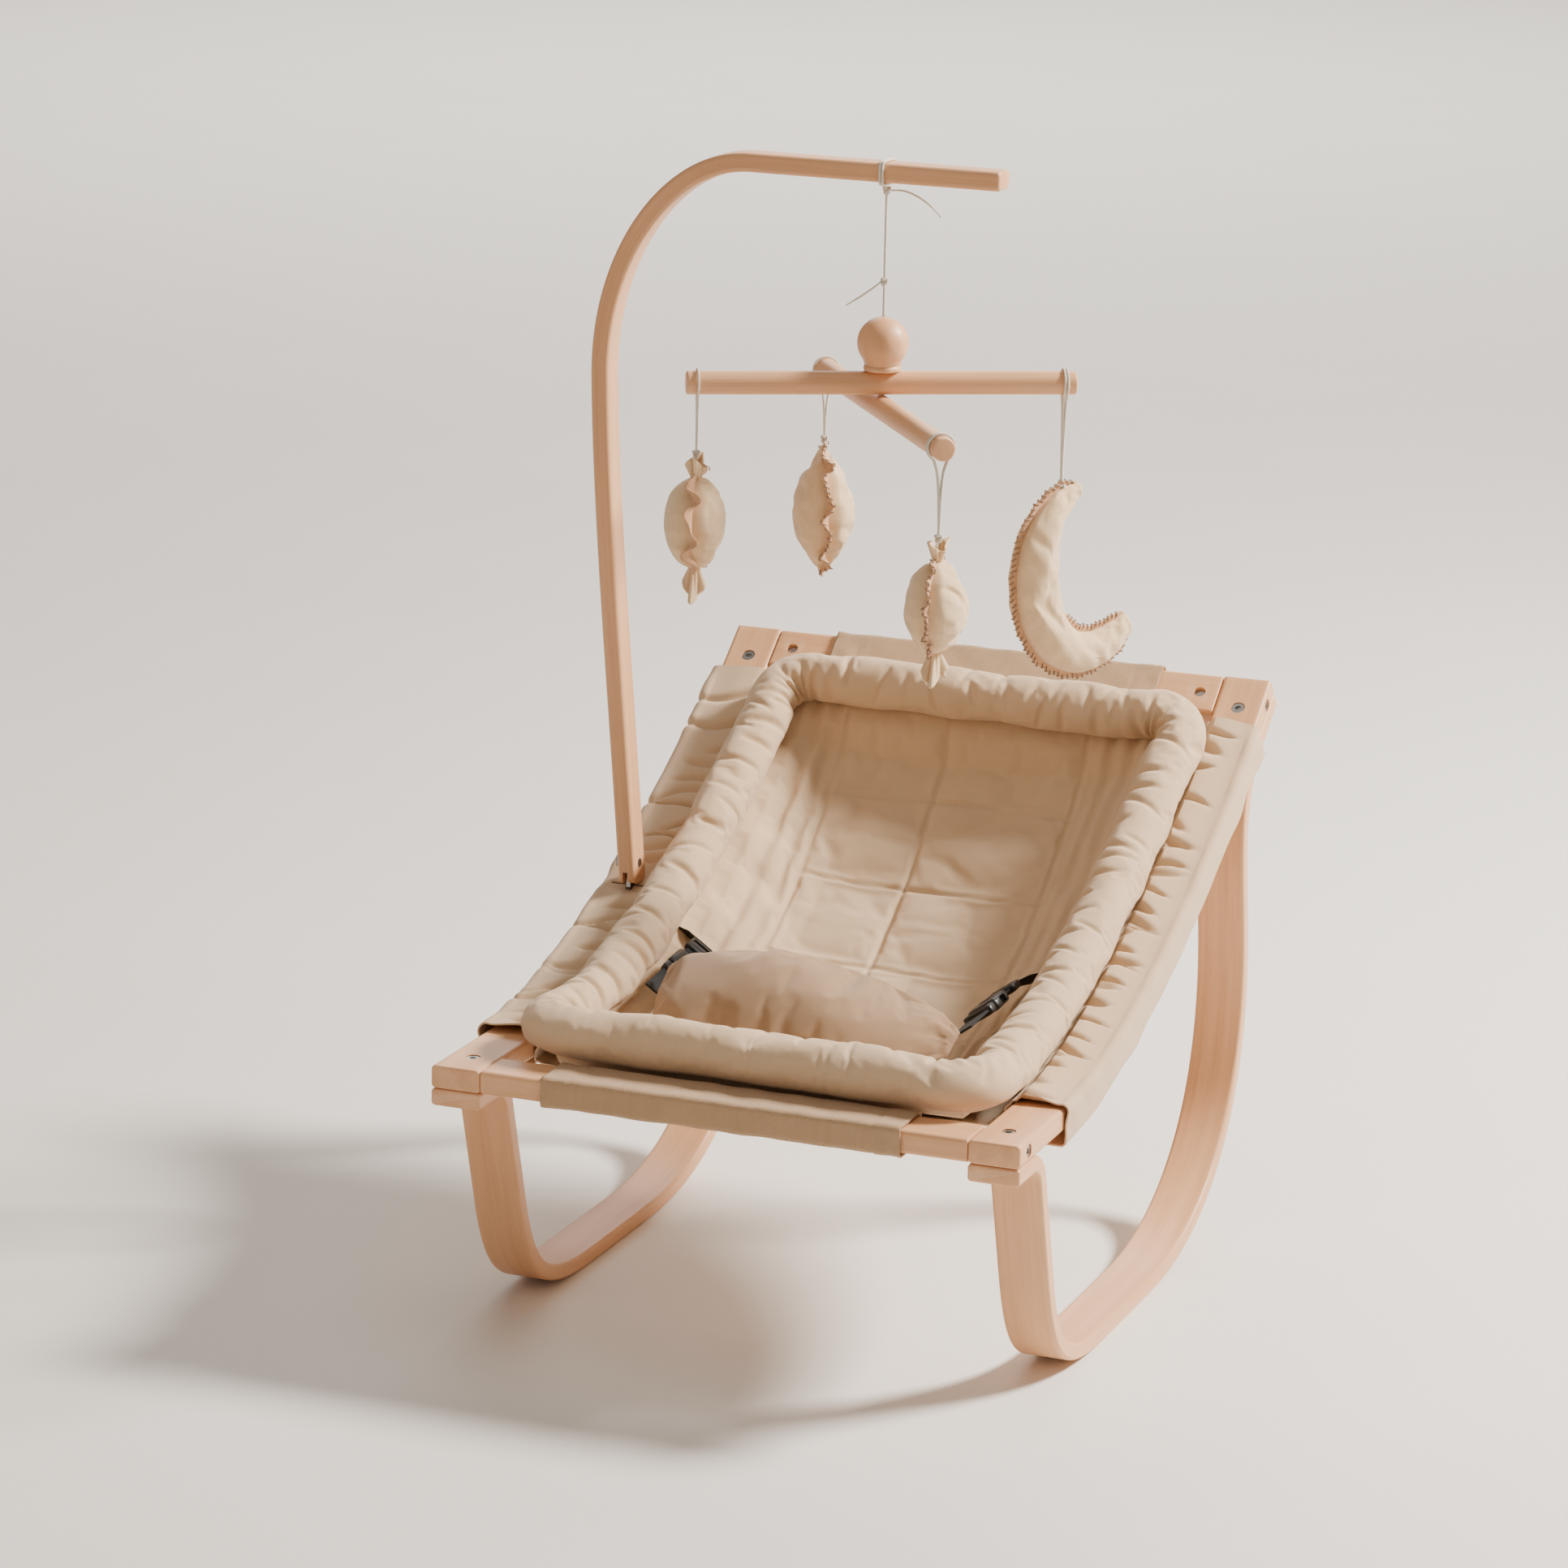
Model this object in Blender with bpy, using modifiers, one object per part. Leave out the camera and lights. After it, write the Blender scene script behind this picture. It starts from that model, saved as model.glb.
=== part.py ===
"""Baby bouncer seat: two bentwood rockers and rails, a padded sling seat and a toy arch with a mobile.

Metres, +Z up. The design is laid out from the front end of the side rails (y = 0, +Y towards the
head end) with x = 0 midway between the rails and the floor at z = 0. The empty that every piece
hangs from moves that layout so that the object's box stands centred on the origin.
"""

import math

import bmesh
import bpy
from mathutils import Matrix, Vector

# ---------------------------------------------------------------- driving dimensions
WIDTH = 0.420
RAIL_WIDTH = 0.036
RAIL_THICK = 0.016
ROCKER_THICK = 0.012
RAIL_HEIGHT = 0.190  # of the rail's centre line at its level front end
RAIL_LEVEL = 0.085  # length of the level front end
RAIL_REAR = (0.5486, 0.3884)  # (y, z) of the centre line's rear end
RAIL_REAR_SLOPE = math.radians(39.0)
GAP = 0.0003
EDGE = 0.0015

BAR_DEPTH = 0.036
BAR_HALF = WIDTH / 2 - RAIL_WIDTH - GAP
RAIL_X = (WIDTH - RAIL_WIDTH) / 2
BOLT_INSET = 0.0180  # of a crossbar bolt from the rail's end
SCREW_INSET = 0.0290  # of a rail screw from the rail's end
BOLT_RADIUS = 0.0025
NUT_RADIUS = 0.0040
NUT_X = WIDTH / 2 - RAIL_WIDTH - 0.014
SCREW_RADIUS = 0.0022

FABRIC = 0.0024
FABRIC_GAP = 0.0005
SLEEVE_DROP = 0.0080  # of the sleeve below the rail
SLEEVE_DROP_REAR = 0.0124  # where it takes in the rocker's end as well
SLING_START = 0.088
SLING_END_INSET = 0.0460
SLING_SAG = 0.042
LOOP_HALF = 0.128

PAD_HALF = 0.1360
PAD_THICK = 0.011
PAD_LIFT = 0.0032  # of its underside over the sling's middle surface
PAD_START = 0.092
PAD_END_INSET = 0.080
PAD_RIM_RISE = 0.0070  # height of its side edges over the rail's line
ROLL_RADIUS = 0.0185
ROLL_X = 0.1555
ROLL_SHIFT = 0.0075  # the padding lies a little to the right of the middle
ROLL_RISE = 0.0280
ROLL_FRONT = 0.0496
ROLL_REAR_INSET = 0.0620
ROLL_CORNER = 0.027

STRAP_WIDTH = 0.0200
STRAP_THICK = 0.0016
STRAP_TILT = math.radians(36.0)

ARCH_Y = 0.2960
ARCH_THICK = 0.0135
ARCH_DEPTH = 0.0220
ARCH_FOOT_X = -0.1905
ARCH_TOP = 0.7812
ARCH_END_X = 0.0775
ARCH_PIVOT_RISE = 0.0200  # of the pivot bolt over the rail's top
FOOT_RADIUS = 0.0158
ARCH_NUT_RADIUS = 0.0032
ARCH_NUT_DEPTH = 0.0028  # of the recess that holds the nut
EAR_THICK = 0.0030
EAR_HALF = 0.0045  # half the width of the bracket's ear
EAR_HEAD = 0.0056  # radius of its rounded head
POCKET_RADIUS = 0.0091  # of the room for the ear inside the foot
POCKET_OPEN = 0.0054  # below the pivot, where the room opens to both faces

MOBILE = (-0.0075, 0.2960)  # (x, y) of the string
DOWEL_RADIUS = 0.0082
UPPER_Z = 0.6345
LOWER_Z = UPPER_Z - 2 * DOWEL_RADIUS - 0.0008
UPPER_LENGTH = 0.272
LOWER_LENGTH = 0.322
UPPER_YAW = math.radians(28.0)
LOWER_YAW = math.radians(-54.5)
HANG_INSET = 0.008
PEG_RADIUS = 0.0025
HUB_RADIUS = 0.0179
HUB_Z = 0.6625
STRING_RADIUS = 0.0010

# the whole layout moves by this much, which centres the object's box on the origin
LAYOUT_SHIFT = (0.00483, -0.27908, 0.0)

WOOD = ((0.72, 0.48, 0.34), 0.45, 0.0)
STEEL = ((0.45, 0.45, 0.46), 0.35, 0.9)
LINEN = ((0.62, 0.52, 0.41), 0.9, 0.0)
LINING = ((0.64, 0.43, 0.31), 0.9, 0.0)
WEBBING = ((0.02, 0.02, 0.02), 0.8, 0.0)
PLASTIC = ((0.02, 0.02, 0.022), 0.35, 0.0)
COTTON = ((0.80, 0.76, 0.68), 0.9, 0.0)
FELT = ((0.66, 0.52, 0.40), 0.95, 0.0)


# ---------------------------------------------------------------- scene and materials
def clear_scene():
    for obj in list(bpy.data.objects):
        bpy.data.objects.remove(obj, do_unlink=True)


def make_collection(name):
    collection = bpy.data.collections.new(name)
    bpy.context.scene.collection.children.link(collection)
    return collection


def make_material(name, look):
    colour, roughness, metallic = look
    material = bpy.data.materials.new(name)
    material.use_nodes = True
    shader = material.node_tree.nodes["Principled BSDF"]
    shader.inputs["Base Color"].default_value = (*colour, 1.0)
    shader.inputs["Roughness"].default_value = roughness
    shader.inputs["Metallic"].default_value = metallic
    return material


clear_scene()
PARTS = make_collection("bouncer_seat")
CUTTERS = make_collection("cutters")
ROOT = bpy.data.objects.new("layout", None)
PARTS.objects.link(ROOT)
ROOT.location = LAYOUT_SHIFT


def add_part(name, data, look, matrix=None):
    """Links an object of this mesh or curve to the part, with its own material."""
    obj = bpy.data.objects.new(name, data)
    PARTS.objects.link(obj)
    data.materials.clear()
    data.materials.append(make_material(name, look))
    obj.parent = ROOT
    if matrix is not None:
        obj.matrix_basis = matrix
    return obj


# ---------------------------------------------------------------- lines in a plane
def bezier(p0, p1, p2, p3, count):
    """count + 1 points of a cubic from p0 to p3."""
    points = []
    for i in range(count + 1):
        t = i / count
        weights = ((1 - t) ** 3, 3 * t * (1 - t) ** 2, 3 * t * t * (1 - t), t**3)
        points.append(tuple(sum(w * p[k] for w, p in zip(weights, (p0, p1, p2, p3))) for k in (0, 1)))
    return points


def arc(centre, radius, start, end, count):
    """count + 1 points of an arc between two angles in degrees."""
    points = []
    for i in range(count + 1):
        angle = math.radians(start + (end - start) * i / count)
        points.append((centre[0] + radius * math.cos(angle), centre[1] + radius * math.sin(angle)))
    return points


def join(*pieces):
    """The pieces end to end, without the points where they meet twice."""
    points = list(pieces[0])
    for piece in pieces[1:]:
        points += piece[1:] if math.dist(points[-1], piece[0]) < 1e-6 else piece
    return points


def offset(points, distance):
    """An open line moved to its left by a distance, with mitred corners."""
    moved = []
    for i, point in enumerate(points):
        before = Vector(points[max(i - 1, 0)])
        here = Vector(point)
        after = Vector(points[min(i + 1, len(points) - 1)])
        first = (here - before) if i else (after - here)
        last = (after - here) if i < len(points) - 1 else first
        first.normalize()
        last.normalize()
        n1 = Vector((-first.y, first.x))
        n2 = Vector((-last.y, last.x))
        moved.append(tuple(here + (n1 + n2) * distance / (1 + n1.dot(n2))))
    return moved


def band(points, thickness):
    """The closed outline of a strip of this thickness that follows a line."""
    return offset(points, thickness / 2) + offset(points, -thickness / 2)[::-1]


def lengths(points):
    run = [0.0]
    for a, b in zip(points, points[1:]):
        run.append(run[-1] + math.dist(a, b))
    return run


def frame_at(points, run, s):
    """Point, direction and left normal at a distance along a line."""
    i = 1
    while i < len(run) - 1 and run[i] < s:
        i += 1
    t = (s - run[i - 1]) / (run[i] - run[i - 1])
    a, b = Vector(points[i - 1]), Vector(points[i])
    direction = (b - a).normalized()
    return a.lerp(b, t), direction, Vector((-direction.y, direction.x))


def rail_line():
    rear = Vector(RAIL_REAR)
    pull = Vector((math.cos(RAIL_REAR_SLOPE), math.sin(RAIL_REAR_SLOPE))) * 0.16
    start = (RAIL_LEVEL, RAIL_HEIGHT)
    curve = bezier(start, (0.225, RAIL_HEIGHT), tuple(rear - pull), tuple(rear), 26)
    return join([(0.0, RAIL_HEIGHT), start], curve)


RAIL = rail_line()
RAIL_RUN = lengths(RAIL)
RAIL_LENGTH = RAIL_RUN[-1]


def on_rail(s, x=0.0, rise=0.0):
    """The layout point at a distance along the rail's line, out by x and up along its normal."""
    point, _, normal = frame_at(RAIL, RAIL_RUN, s)
    place = point + normal * rise
    return Vector((x, place.x, place.y))


def rail_angle(s):
    _, direction, _ = frame_at(RAIL, RAIL_RUN, s)
    return math.atan2(direction.y, direction.x)


def rail_frame(s, x=0.0, rise=0.0):
    """A matrix with its Y along the rail and its Z square to it."""
    return Matrix.Translation(on_rail(s, x, rise)) @ Matrix.Rotation(rail_angle(s), 4, "X")


# ---------------------------------------------------------------- solids
SIDE_PLANE = Matrix(((0, 0, 1, 0), (1, 0, 0, 0), (0, 1, 0, 0), (0, 0, 0, 1)))
FRONT_PLANE = Matrix.Rotation(math.radians(90), 4, "X")


def extruded_mesh(name, outline, half_width):
    """A flat outline given a thickness, as a welded mesh in its own XY plane."""
    curve = bpy.data.curves.new(name, "CURVE")
    curve.dimensions = "2D"
    curve.fill_mode = "BOTH"
    curve.extrude = half_width
    spline = curve.splines.new("POLY")
    spline.points.add(len(outline) - 1)
    for point, (u, v) in zip(spline.points, outline):
        point.co = (u, v, 0.0, 1.0)
    spline.use_cyclic_u = True
    holder = bpy.data.objects.new(name, curve)
    bpy.context.scene.collection.objects.link(holder)
    mesh = bpy.data.meshes.new_from_object(holder.evaluated_get(bpy.context.evaluated_depsgraph_get()))
    bpy.data.objects.remove(holder)
    mesh.name = name
    bm = bmesh.new()
    bm.from_mesh(mesh)
    bmesh.ops.remove_doubles(bm, verts=bm.verts, dist=1e-6)
    bmesh.ops.dissolve_limit(bm, angle_limit=1e-4, verts=bm.verts, edges=bm.edges)
    bmesh.ops.recalc_face_normals(bm, faces=bm.faces)
    bm.to_mesh(mesh)
    bm.free()
    return mesh


def bevel(obj, width=EDGE, segments=1):
    modifier = obj.modifiers.new("rounded edges", "BEVEL")
    modifier.width = width
    modifier.segments = segments
    modifier.limit_method = "ANGLE"
    modifier.angle_limit = math.radians(50)
    return obj


def mesh_bmesh(mesh):
    """Takes a mesh into a bmesh and removes it."""
    bm = bmesh.new()
    bm.from_mesh(mesh)
    bpy.data.meshes.remove(mesh)
    return bm


def bmesh_part(name, bm, look, matrix):
    mesh = bpy.data.meshes.new(name)
    bm.to_mesh(mesh)
    bm.free()
    return add_part(name, mesh, look, matrix)


def box_bmesh(size):
    bm = bmesh.new()
    bmesh.ops.create_cube(bm, size=1.0, matrix=Matrix.Diagonal((*size, 1.0)))
    return bm


def cylinder_bmesh(radius, low, high, sides=16):
    bm = bmesh.new()
    place = Matrix.Translation((0, 0, (low + high) / 2))
    bmesh.ops.create_cone(
        bm, cap_ends=True, segments=sides, radius1=radius, radius2=radius, depth=high - low, matrix=place
    )
    return bm


def turned_part(name, profile, look, matrix, sides=16):
    """A turned piece. The profile runs down its outer side as (radius, height)."""
    mesh = bpy.data.meshes.new(name)
    points = [(radius, 0.0, height) for radius, height in profile]
    mesh.from_pydata(points, [(i, i + 1) for i in range(len(points) - 1)], [])
    obj = add_part(name, mesh, look, matrix)
    screw = obj.modifiers.new("turn", "SCREW")
    screw.steps = sides
    screw.render_steps = sides
    screw.use_merge_vertices = True
    screw.merge_threshold = 1e-5
    screw.use_smooth_shade = True
    return obj


def tube_part(name, points, radius, look, cyclic=False, sides_level=2):
    """A round string or roll along layout points."""
    curve = bpy.data.curves.new(name, "CURVE")
    curve.dimensions = "3D"
    curve.bevel_depth = radius
    curve.bevel_resolution = sides_level
    curve.use_fill_caps = not cyclic
    spline = curve.splines.new("POLY")
    spline.points.add(len(points) - 1)
    for knot, point in zip(spline.points, points):
        knot.co = (*point, 1.0)
    spline.use_cyclic_u = cyclic
    return add_part(name, curve, look)


def loft_part(name, sections, look):
    """A solid through equal rings of layout points, closed by its two end faces."""
    bm = bmesh.new()
    rings = [[bm.verts.new(point) for point in section] for section in sections]
    count = len(rings[0])
    for low, high in zip(rings, rings[1:]):
        for i in range(count):
            j = (i + 1) % count
            bm.faces.new((low[i], low[j], high[j], high[i]))
    bm.faces.new(rings[0][::-1])
    bm.faces.new(rings[-1])
    bmesh.ops.recalc_face_normals(bm, faces=bm.faces)
    return bmesh_part(name, bm, look, None)


def cut(target, bm, matrix, operation="DIFFERENCE"):
    """A Boolean of the target with a hidden cutter made from this mesh."""
    mesh = bpy.data.meshes.new("cutter")
    bm.to_mesh(mesh)
    bm.free()
    cutter = bpy.data.objects.new(target.name + "_cutter", mesh)
    CUTTERS.objects.link(cutter)
    cutter.parent = ROOT
    cutter.matrix_basis = matrix
    cutter.hide_render = True
    cutter.display_type = "WIRE"
    modifier = target.modifiers.new("cut", "BOOLEAN")
    modifier.operation = operation
    modifier.object = cutter


# ---------------------------------------------------------------- wooden frame
def rocker_line():
    """Centre line from the front end, down the front leg, along the floor and up to the rail's rear."""
    drop = (RAIL_THICK + ROCKER_THICK) / 2 + GAP
    top = RAIL_HEIGHT - drop
    floor = ROCKER_THICK / 2
    shoulder = arc((0.032, top - 0.020), 0.020, 90, 16, 6)
    knee = (0.0739, 0.0854)
    front_bend = bezier(knee, (0.0927, 0.0201), (0.120, floor), (0.200, floor), 14)
    rear_bend = bezier((0.306, floor), (0.420, floor), (0.5098, 0.0605), (0.5098, 0.175), 18)
    rear_leg = bezier((0.5098, 0.175), (0.5098, 0.215), (0.4965, 0.250), (0.4955, 0.285), 6)
    seat = []
    for i in range(5):
        place = on_rail(RAIL_LENGTH - 0.045 * (1 - i / 4), 0.0, -drop)
        seat.append((place.y, place.z))
    rise = Vector(seat[1]) - Vector(seat[0])
    lead = Vector(seat[0]) - rise.normalized() * 0.020
    neck = bezier((0.4955, 0.285), (0.4935, 0.315), tuple(lead), seat[0], 8)
    return join([(0.0, top)], shoulder, [knee], front_bend, rear_bend, rear_leg, neck, seat[1:])


def side_hole(target, s, x, radius, low, high, rise=0.0):
    """A hole across the frame at a distance along the rail, from low to high in x."""
    matrix = rail_frame(s, x, rise) @ Matrix.Rotation(math.radians(90), 4, "Y")
    cut(target, cylinder_bmesh(radius, low, high), matrix)


def square_hole(target, s, x, radius, low, high):
    """A hole square to the rail, from low to high along its normal."""
    cut(target, cylinder_bmesh(radius, low, high), rail_frame(s, x))


def end_stations(inset):
    return (("front", inset), ("rear", RAIL_LENGTH - inset))


def make_side_rail(side, word):
    mesh = extruded_mesh(f"side_rail_{word}", band(RAIL, RAIL_THICK), RAIL_WIDTH / 2)
    rail = add_part(f"side_rail_{word}", mesh, WOOD, Matrix.Translation((side * RAIL_X, 0, 0)) @ SIDE_PLANE)
    bevel(rail)
    outer = side * WIDTH / 2
    for _, s in end_stations(BOLT_INSET):
        side_hole(rail, s, side * RAIL_X, BOLT_RADIUS + GAP, -0.03, 0.03)
        side_hole(rail, s, outer, 0.0050, -0.0058, 0.0058)
    for _, s in end_stations(SCREW_INSET):
        square_hole(rail, s, side * RAIL_X, SCREW_RADIUS + GAP, -0.012, 0.012)
        square_hole(rail, s, side * RAIL_X, 0.0050, 0.0040, 0.012)
    return rail


def make_rocker(side, word):
    mesh = extruded_mesh(f"rocker_{word}", band(rocker_line(), ROCKER_THICK), RAIL_WIDTH / 2)
    rocker = add_part(f"rocker_{word}", mesh, WOOD, Matrix.Translation((side * RAIL_X, 0, 0)) @ SIDE_PLANE)
    bevel(rocker)
    for _, s in end_stations(SCREW_INSET):
        square_hole(rocker, s, side * RAIL_X, SCREW_RADIUS + GAP, -0.0175, 0.0)
    return rocker


def make_crossbar(word, s):
    bar = bmesh_part(
        f"{word}_crossbar", box_bmesh((2 * BAR_HALF, BAR_DEPTH, RAIL_THICK)), WOOD, rail_frame(s)
    )
    bevel(bar)
    bolt_s = BOLT_INSET if word == "front" else RAIL_LENGTH - BOLT_INSET
    for side in (-1, 1):
        side_hole(bar, bolt_s, side * BAR_HALF, BOLT_RADIUS + GAP, -0.030, 0.030)
        low, high = (-0.012, 0.0065) if word == "front" else (-0.0065, 0.012)
        square_hole(bar, bolt_s, side * NUT_X, NUT_RADIUS + GAP, low, high)
    return bar


def bolt_profile(head_radius, head_height, shank_radius, shank_length):
    """A socket-head bolt, its head up and the underside of the head at zero."""
    socket = head_radius * 0.5
    depth = head_height * 0.55
    return [
        (0.0, head_height - depth),
        (socket, head_height - depth),
        (socket, head_height),
        (head_radius, head_height),
        (head_radius, 0.0),
        (shank_radius, 0.0),
        (shank_radius, -shank_length),
        (0.0, -shank_length),
    ]


def make_frame_fasteners(side, word):
    across = Matrix.Rotation(math.radians(90) * side, 4, "Y")
    for end, s in end_stations(BOLT_INSET):
        seat = rail_frame(s, side * (WIDTH / 2 - 0.0055)) @ across
        length = WIDTH / 2 - 0.0055 - (NUT_X - NUT_RADIUS) + 0.004
        bolt = bolt_profile(0.0045, 0.0045, BOLT_RADIUS, length)
        turned_part(f"crossbar_bolt_{end}_{word}", bolt, STEEL, seat)
        low, high = (-0.0050, 0.0062) if end == "front" else (-0.0062, 0.0050)
        nut = bmesh_part(
            f"barrel_nut_{end}_{word}",
            cylinder_bmesh(NUT_RADIUS, low, high),
            STEEL,
            rail_frame(s, side * NUT_X),
        )
        side_hole(nut, s, side * NUT_X, BOLT_RADIUS + GAP, -0.01, 0.01)
    for end, s in end_stations(SCREW_INSET):
        seat = rail_frame(s, side * RAIL_X, 0.0043)
        screw = bolt_profile(0.0046, 0.0030, SCREW_RADIUS, 0.0205)
        turned_part(f"rail_screw_{end}_{word}", screw, STEEL, seat)


# ---------------------------------------------------------------- sling and seat pad
def sag_at(s):
    """Depth of the sling's middle below the rail's line."""
    u = (s - SLING_START) / (RAIL_LENGTH - SLING_END_INSET - SLING_START)
    u = min(max(u, 0.0), 1.0)
    return 0.013 + SLING_SAG * math.sin(math.pi * u**0.85)


def sling_height(x, s):
    """Height of the sling's middle surface over the rail's line."""
    reach = WIDTH / 2 - RAIL_WIDTH
    return -0.010 - (sag_at(s) - 0.010) * (1 - (x / reach) ** 2)


def sleeve_drop(s):
    u = min(max((s - RAIL_LENGTH + 0.140) / 0.060, 0.0), 1.0)
    return SLEEVE_DROP + (SLEEVE_DROP_REAR - SLEEVE_DROP) * u


def sling_line(s):
    """The fabric's middle line across the seat, wrapped round both rails."""
    clear = FABRIC_GAP + FABRIC / 2
    inner = WIDTH / 2 - RAIL_WIDTH - clear
    outer = WIDTH / 2 + clear
    top = RAIL_THICK / 2 + clear
    bottom = -RAIL_THICK / 2 - clear - sleeve_drop(s)
    half = [(x, sling_height(x, s)) for x in (0.0, 0.045, 0.090, 0.130, 0.158)]
    half += [(inner, -0.006), (inner, top), (outer, top), (outer, bottom), (inner + 0.008, bottom)]
    return [(-x, n) for x, n in half[:0:-1]] + half


def stations(first, last, count):
    return [first + (last - first) * i / (count - 1) for i in range(count)]


def make_sling():
    sections = []
    for s in stations(SLING_START, RAIL_LENGTH - SLING_END_INSET, 22):
        sections.append([on_rail(s, x, n) for x, n in band(sling_line(s), FABRIC)])
    sling = loft_part("seat_sling", sections, LINEN)
    window = rail_frame(arch_station(), ARCH_FOOT_X, RAIL_THICK / 2)
    cut(sling, box_bmesh((0.027, 0.027, 0.020)), window)
    room = band(rocker_line(), ROCKER_THICK + 2 * FABRIC_GAP)
    for side in (-1, 1):
        slot = mesh_bmesh(extruded_mesh("slot", room, RAIL_WIDTH / 2 + GAP))
        cut(sling, slot, Matrix.Translation((side * RAIL_X, 0, 0)) @ SIDE_PLANE)
    return sling


def make_bar_loop(word, s, tail_end):
    """The sling's end wrapped round a crossbar, with the tail that runs back to the sling."""
    clear = FABRIC_GAP + FABRIC / 2
    half_depth = BAR_DEPTH / 2 + clear
    half_height = RAIL_THICK / 2 + clear
    way = 1 if word == "front" else -1
    line = [
        (tail_end, -0.0105),
        (half_depth + 0.004, -0.0085),
        (half_depth, half_height),
        (-half_depth, half_height),
        (-half_depth, -half_height),
        (half_depth - 0.004, -half_height),
    ]
    outline = band([(way * u, v) for u, v in line], FABRIC)
    mesh = extruded_mesh(f"{word}_loop", outline, LOOP_HALF)
    return add_part(f"{word}_loop", mesh, LINEN, rail_frame(s) @ SIDE_PLANE)


def pad_top(x, s):
    """Height of the pad's upper face over the rail's line."""
    middle = sling_height(0.0, s) + PAD_LIFT + PAD_THICK
    return PAD_RIM_RISE - (PAD_RIM_RISE - middle) * (1 - (abs(x) / PAD_HALF) ** 2.6)


def pad_bottom(x, s):
    return max(sling_height(x, s) + PAD_LIFT, pad_top(x, s) - PAD_THICK)


def make_pad():
    across = [PAD_HALF * f for f in (-1, -0.9, -0.78, -0.6, -0.35, 0, 0.35, 0.6, 0.78, 0.9, 1)]
    sections = []
    for s in stations(PAD_START, RAIL_LENGTH - PAD_END_INSET, 17):
        ring = [on_rail(s, x, pad_bottom(x, s)) for x in across]
        ring += [on_rail(s, x, pad_top(x, s)) for x in across[::-1]]
        sections.append(ring)
    return loft_part("seat_pad", sections, LINEN)


def make_roll():
    """The padded roll round the seat's rim: a rounded rectangle laid along the rails' curve."""
    front, rear = ROLL_FRONT, RAIL_LENGTH - ROLL_REAR_INSET
    x, r = ROLL_X - ROLL_CORNER, ROLL_CORNER
    plan = arc((x, front + r), r, -90, 0, 6)
    plan += [(ROLL_X, s) for s in stations(front + r, rear - r, 18)[1:-1]]
    plan += arc((x, rear - r), r, 0, 90, 6)
    plan += [(0.06, rear), (0.0, rear), (-0.06, rear)]
    plan += arc((-x, rear - r), r, 90, 180, 6)
    plan += [(-ROLL_X, s) for s in stations(rear - r, front + r, 18)[1:-1]]
    plan += arc((-x, front + r), r, 180, 270, 6)
    plan += [(-0.06, front), (0.0, front), (0.06, front)]
    line = [on_rail(s, ROLL_SHIFT + u, ROLL_RISE) for u, s in plan]
    return tube_part("pad_roll", line, ROLL_RADIUS, LINEN, cyclic=True)


def make_lap_cover():
    """The padded flap that arches over the lap, from the front roll back."""
    columns, rows = 12, 6
    bm = bmesh.new()
    grid = []
    for j in range(rows + 1):
        v = j / rows
        line = []
        for i in range(columns + 1):
            u = 2 * i / columns - 1
            crown = math.cos(u * math.pi / 2) ** 0.9 if abs(u) < 1 else 0.0
            x = u * 0.096 + 0.004
            y = 0.096 + 0.084 * v * (1 - 0.20 * u * u)
            z = 0.1990 + 0.010 * v + (0.012 + 0.030 * v) * crown
            line.append(bm.verts.new((x, y, z)))
        grid.append(line)
    for j in range(rows):
        for i in range(columns):
            bm.faces.new((grid[j][i], grid[j][i + 1], grid[j + 1][i + 1], grid[j + 1][i]))
    cover = bmesh_part("lap_cover", bm, LINING, None)
    solid = cover.modifiers.new("padding", "SOLIDIFY")
    solid.thickness = 0.007
    solid.offset = 0.0
    return cover


# ---------------------------------------------------------------- belt
BELT_FRONT = (0.1120, 0.1580, 0.2190)
BELT_REAR = (0.1135, 0.2760, 0.2275)


def belt_frame(side, along):
    """Local Y runs from the lap cover towards the head end, local Z out of the strap's face."""
    start = Vector((side * BELT_FRONT[0], *BELT_FRONT[1:]))
    end = Vector((side * BELT_REAR[0], *BELT_REAR[1:]))
    direction = (end - start).normalized()
    slope = math.asin(direction.z)
    yaw = math.atan2(-direction.x, direction.y)
    turn = Matrix.Rotation(yaw, 4, "Z") @ Matrix.Rotation(slope, 4, "X")
    return Matrix.Translation(start + direction * along) @ turn @ Matrix.Rotation(-side * STRAP_TILT, 4, "Y")


def belt_box(name, side, size, along, look, edge):
    return bevel(bmesh_part(name, box_bmesh(size), look, belt_frame(side, along)), edge)


def make_belt(side, word):
    """The strap from the lap cover with its tongue, then the socket, its strap and the adjuster."""
    belt_box(f"lap_strap_{word}", side, (STRAP_WIDTH, 0.0330, STRAP_THICK), 0.0165, WEBBING, 0.0003)
    tongue = belt_box(f"buckle_tongue_{word}", side, (0.0160, 0.0180, 0.0030), 0.0500, PLASTIC, 0.0006)
    cut(tongue, box_bmesh((0.0240, 0.0090, 0.0070)), belt_frame(side, 0.0380), "UNION")
    socket = belt_box(f"buckle_socket_{word}", side, (0.0250, 0.0230, 0.0090), 0.0550, PLASTIC, 0.0015)
    cut(socket, box_bmesh((0.0190, 0.0200, 0.0050)), belt_frame(side, 0.0505))
    belt_box(f"side_strap_{word}", side, (STRAP_WIDTH, 0.0460, STRAP_THICK), 0.0900, WEBBING, 0.0003)
    adjuster = belt_box(f"strap_adjuster_{word}", side, (0.0250, 0.0140, 0.0060), 0.0850, PLASTIC, 0.0012)
    cut(adjuster, box_bmesh((0.0206, 0.0300, 0.0022)), belt_frame(side, 0.0850))


# ---------------------------------------------------------------- toy arch
def arch_station():
    """Distance along the rail at which the pivot bolt lies in the arch's plane."""
    rise = RAIL_THICK / 2 + ARCH_PIVOT_RISE
    return min(stations(0.2, 0.4, 401), key=lambda s: abs(on_rail(s, 0, rise).y - ARCH_Y))


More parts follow.
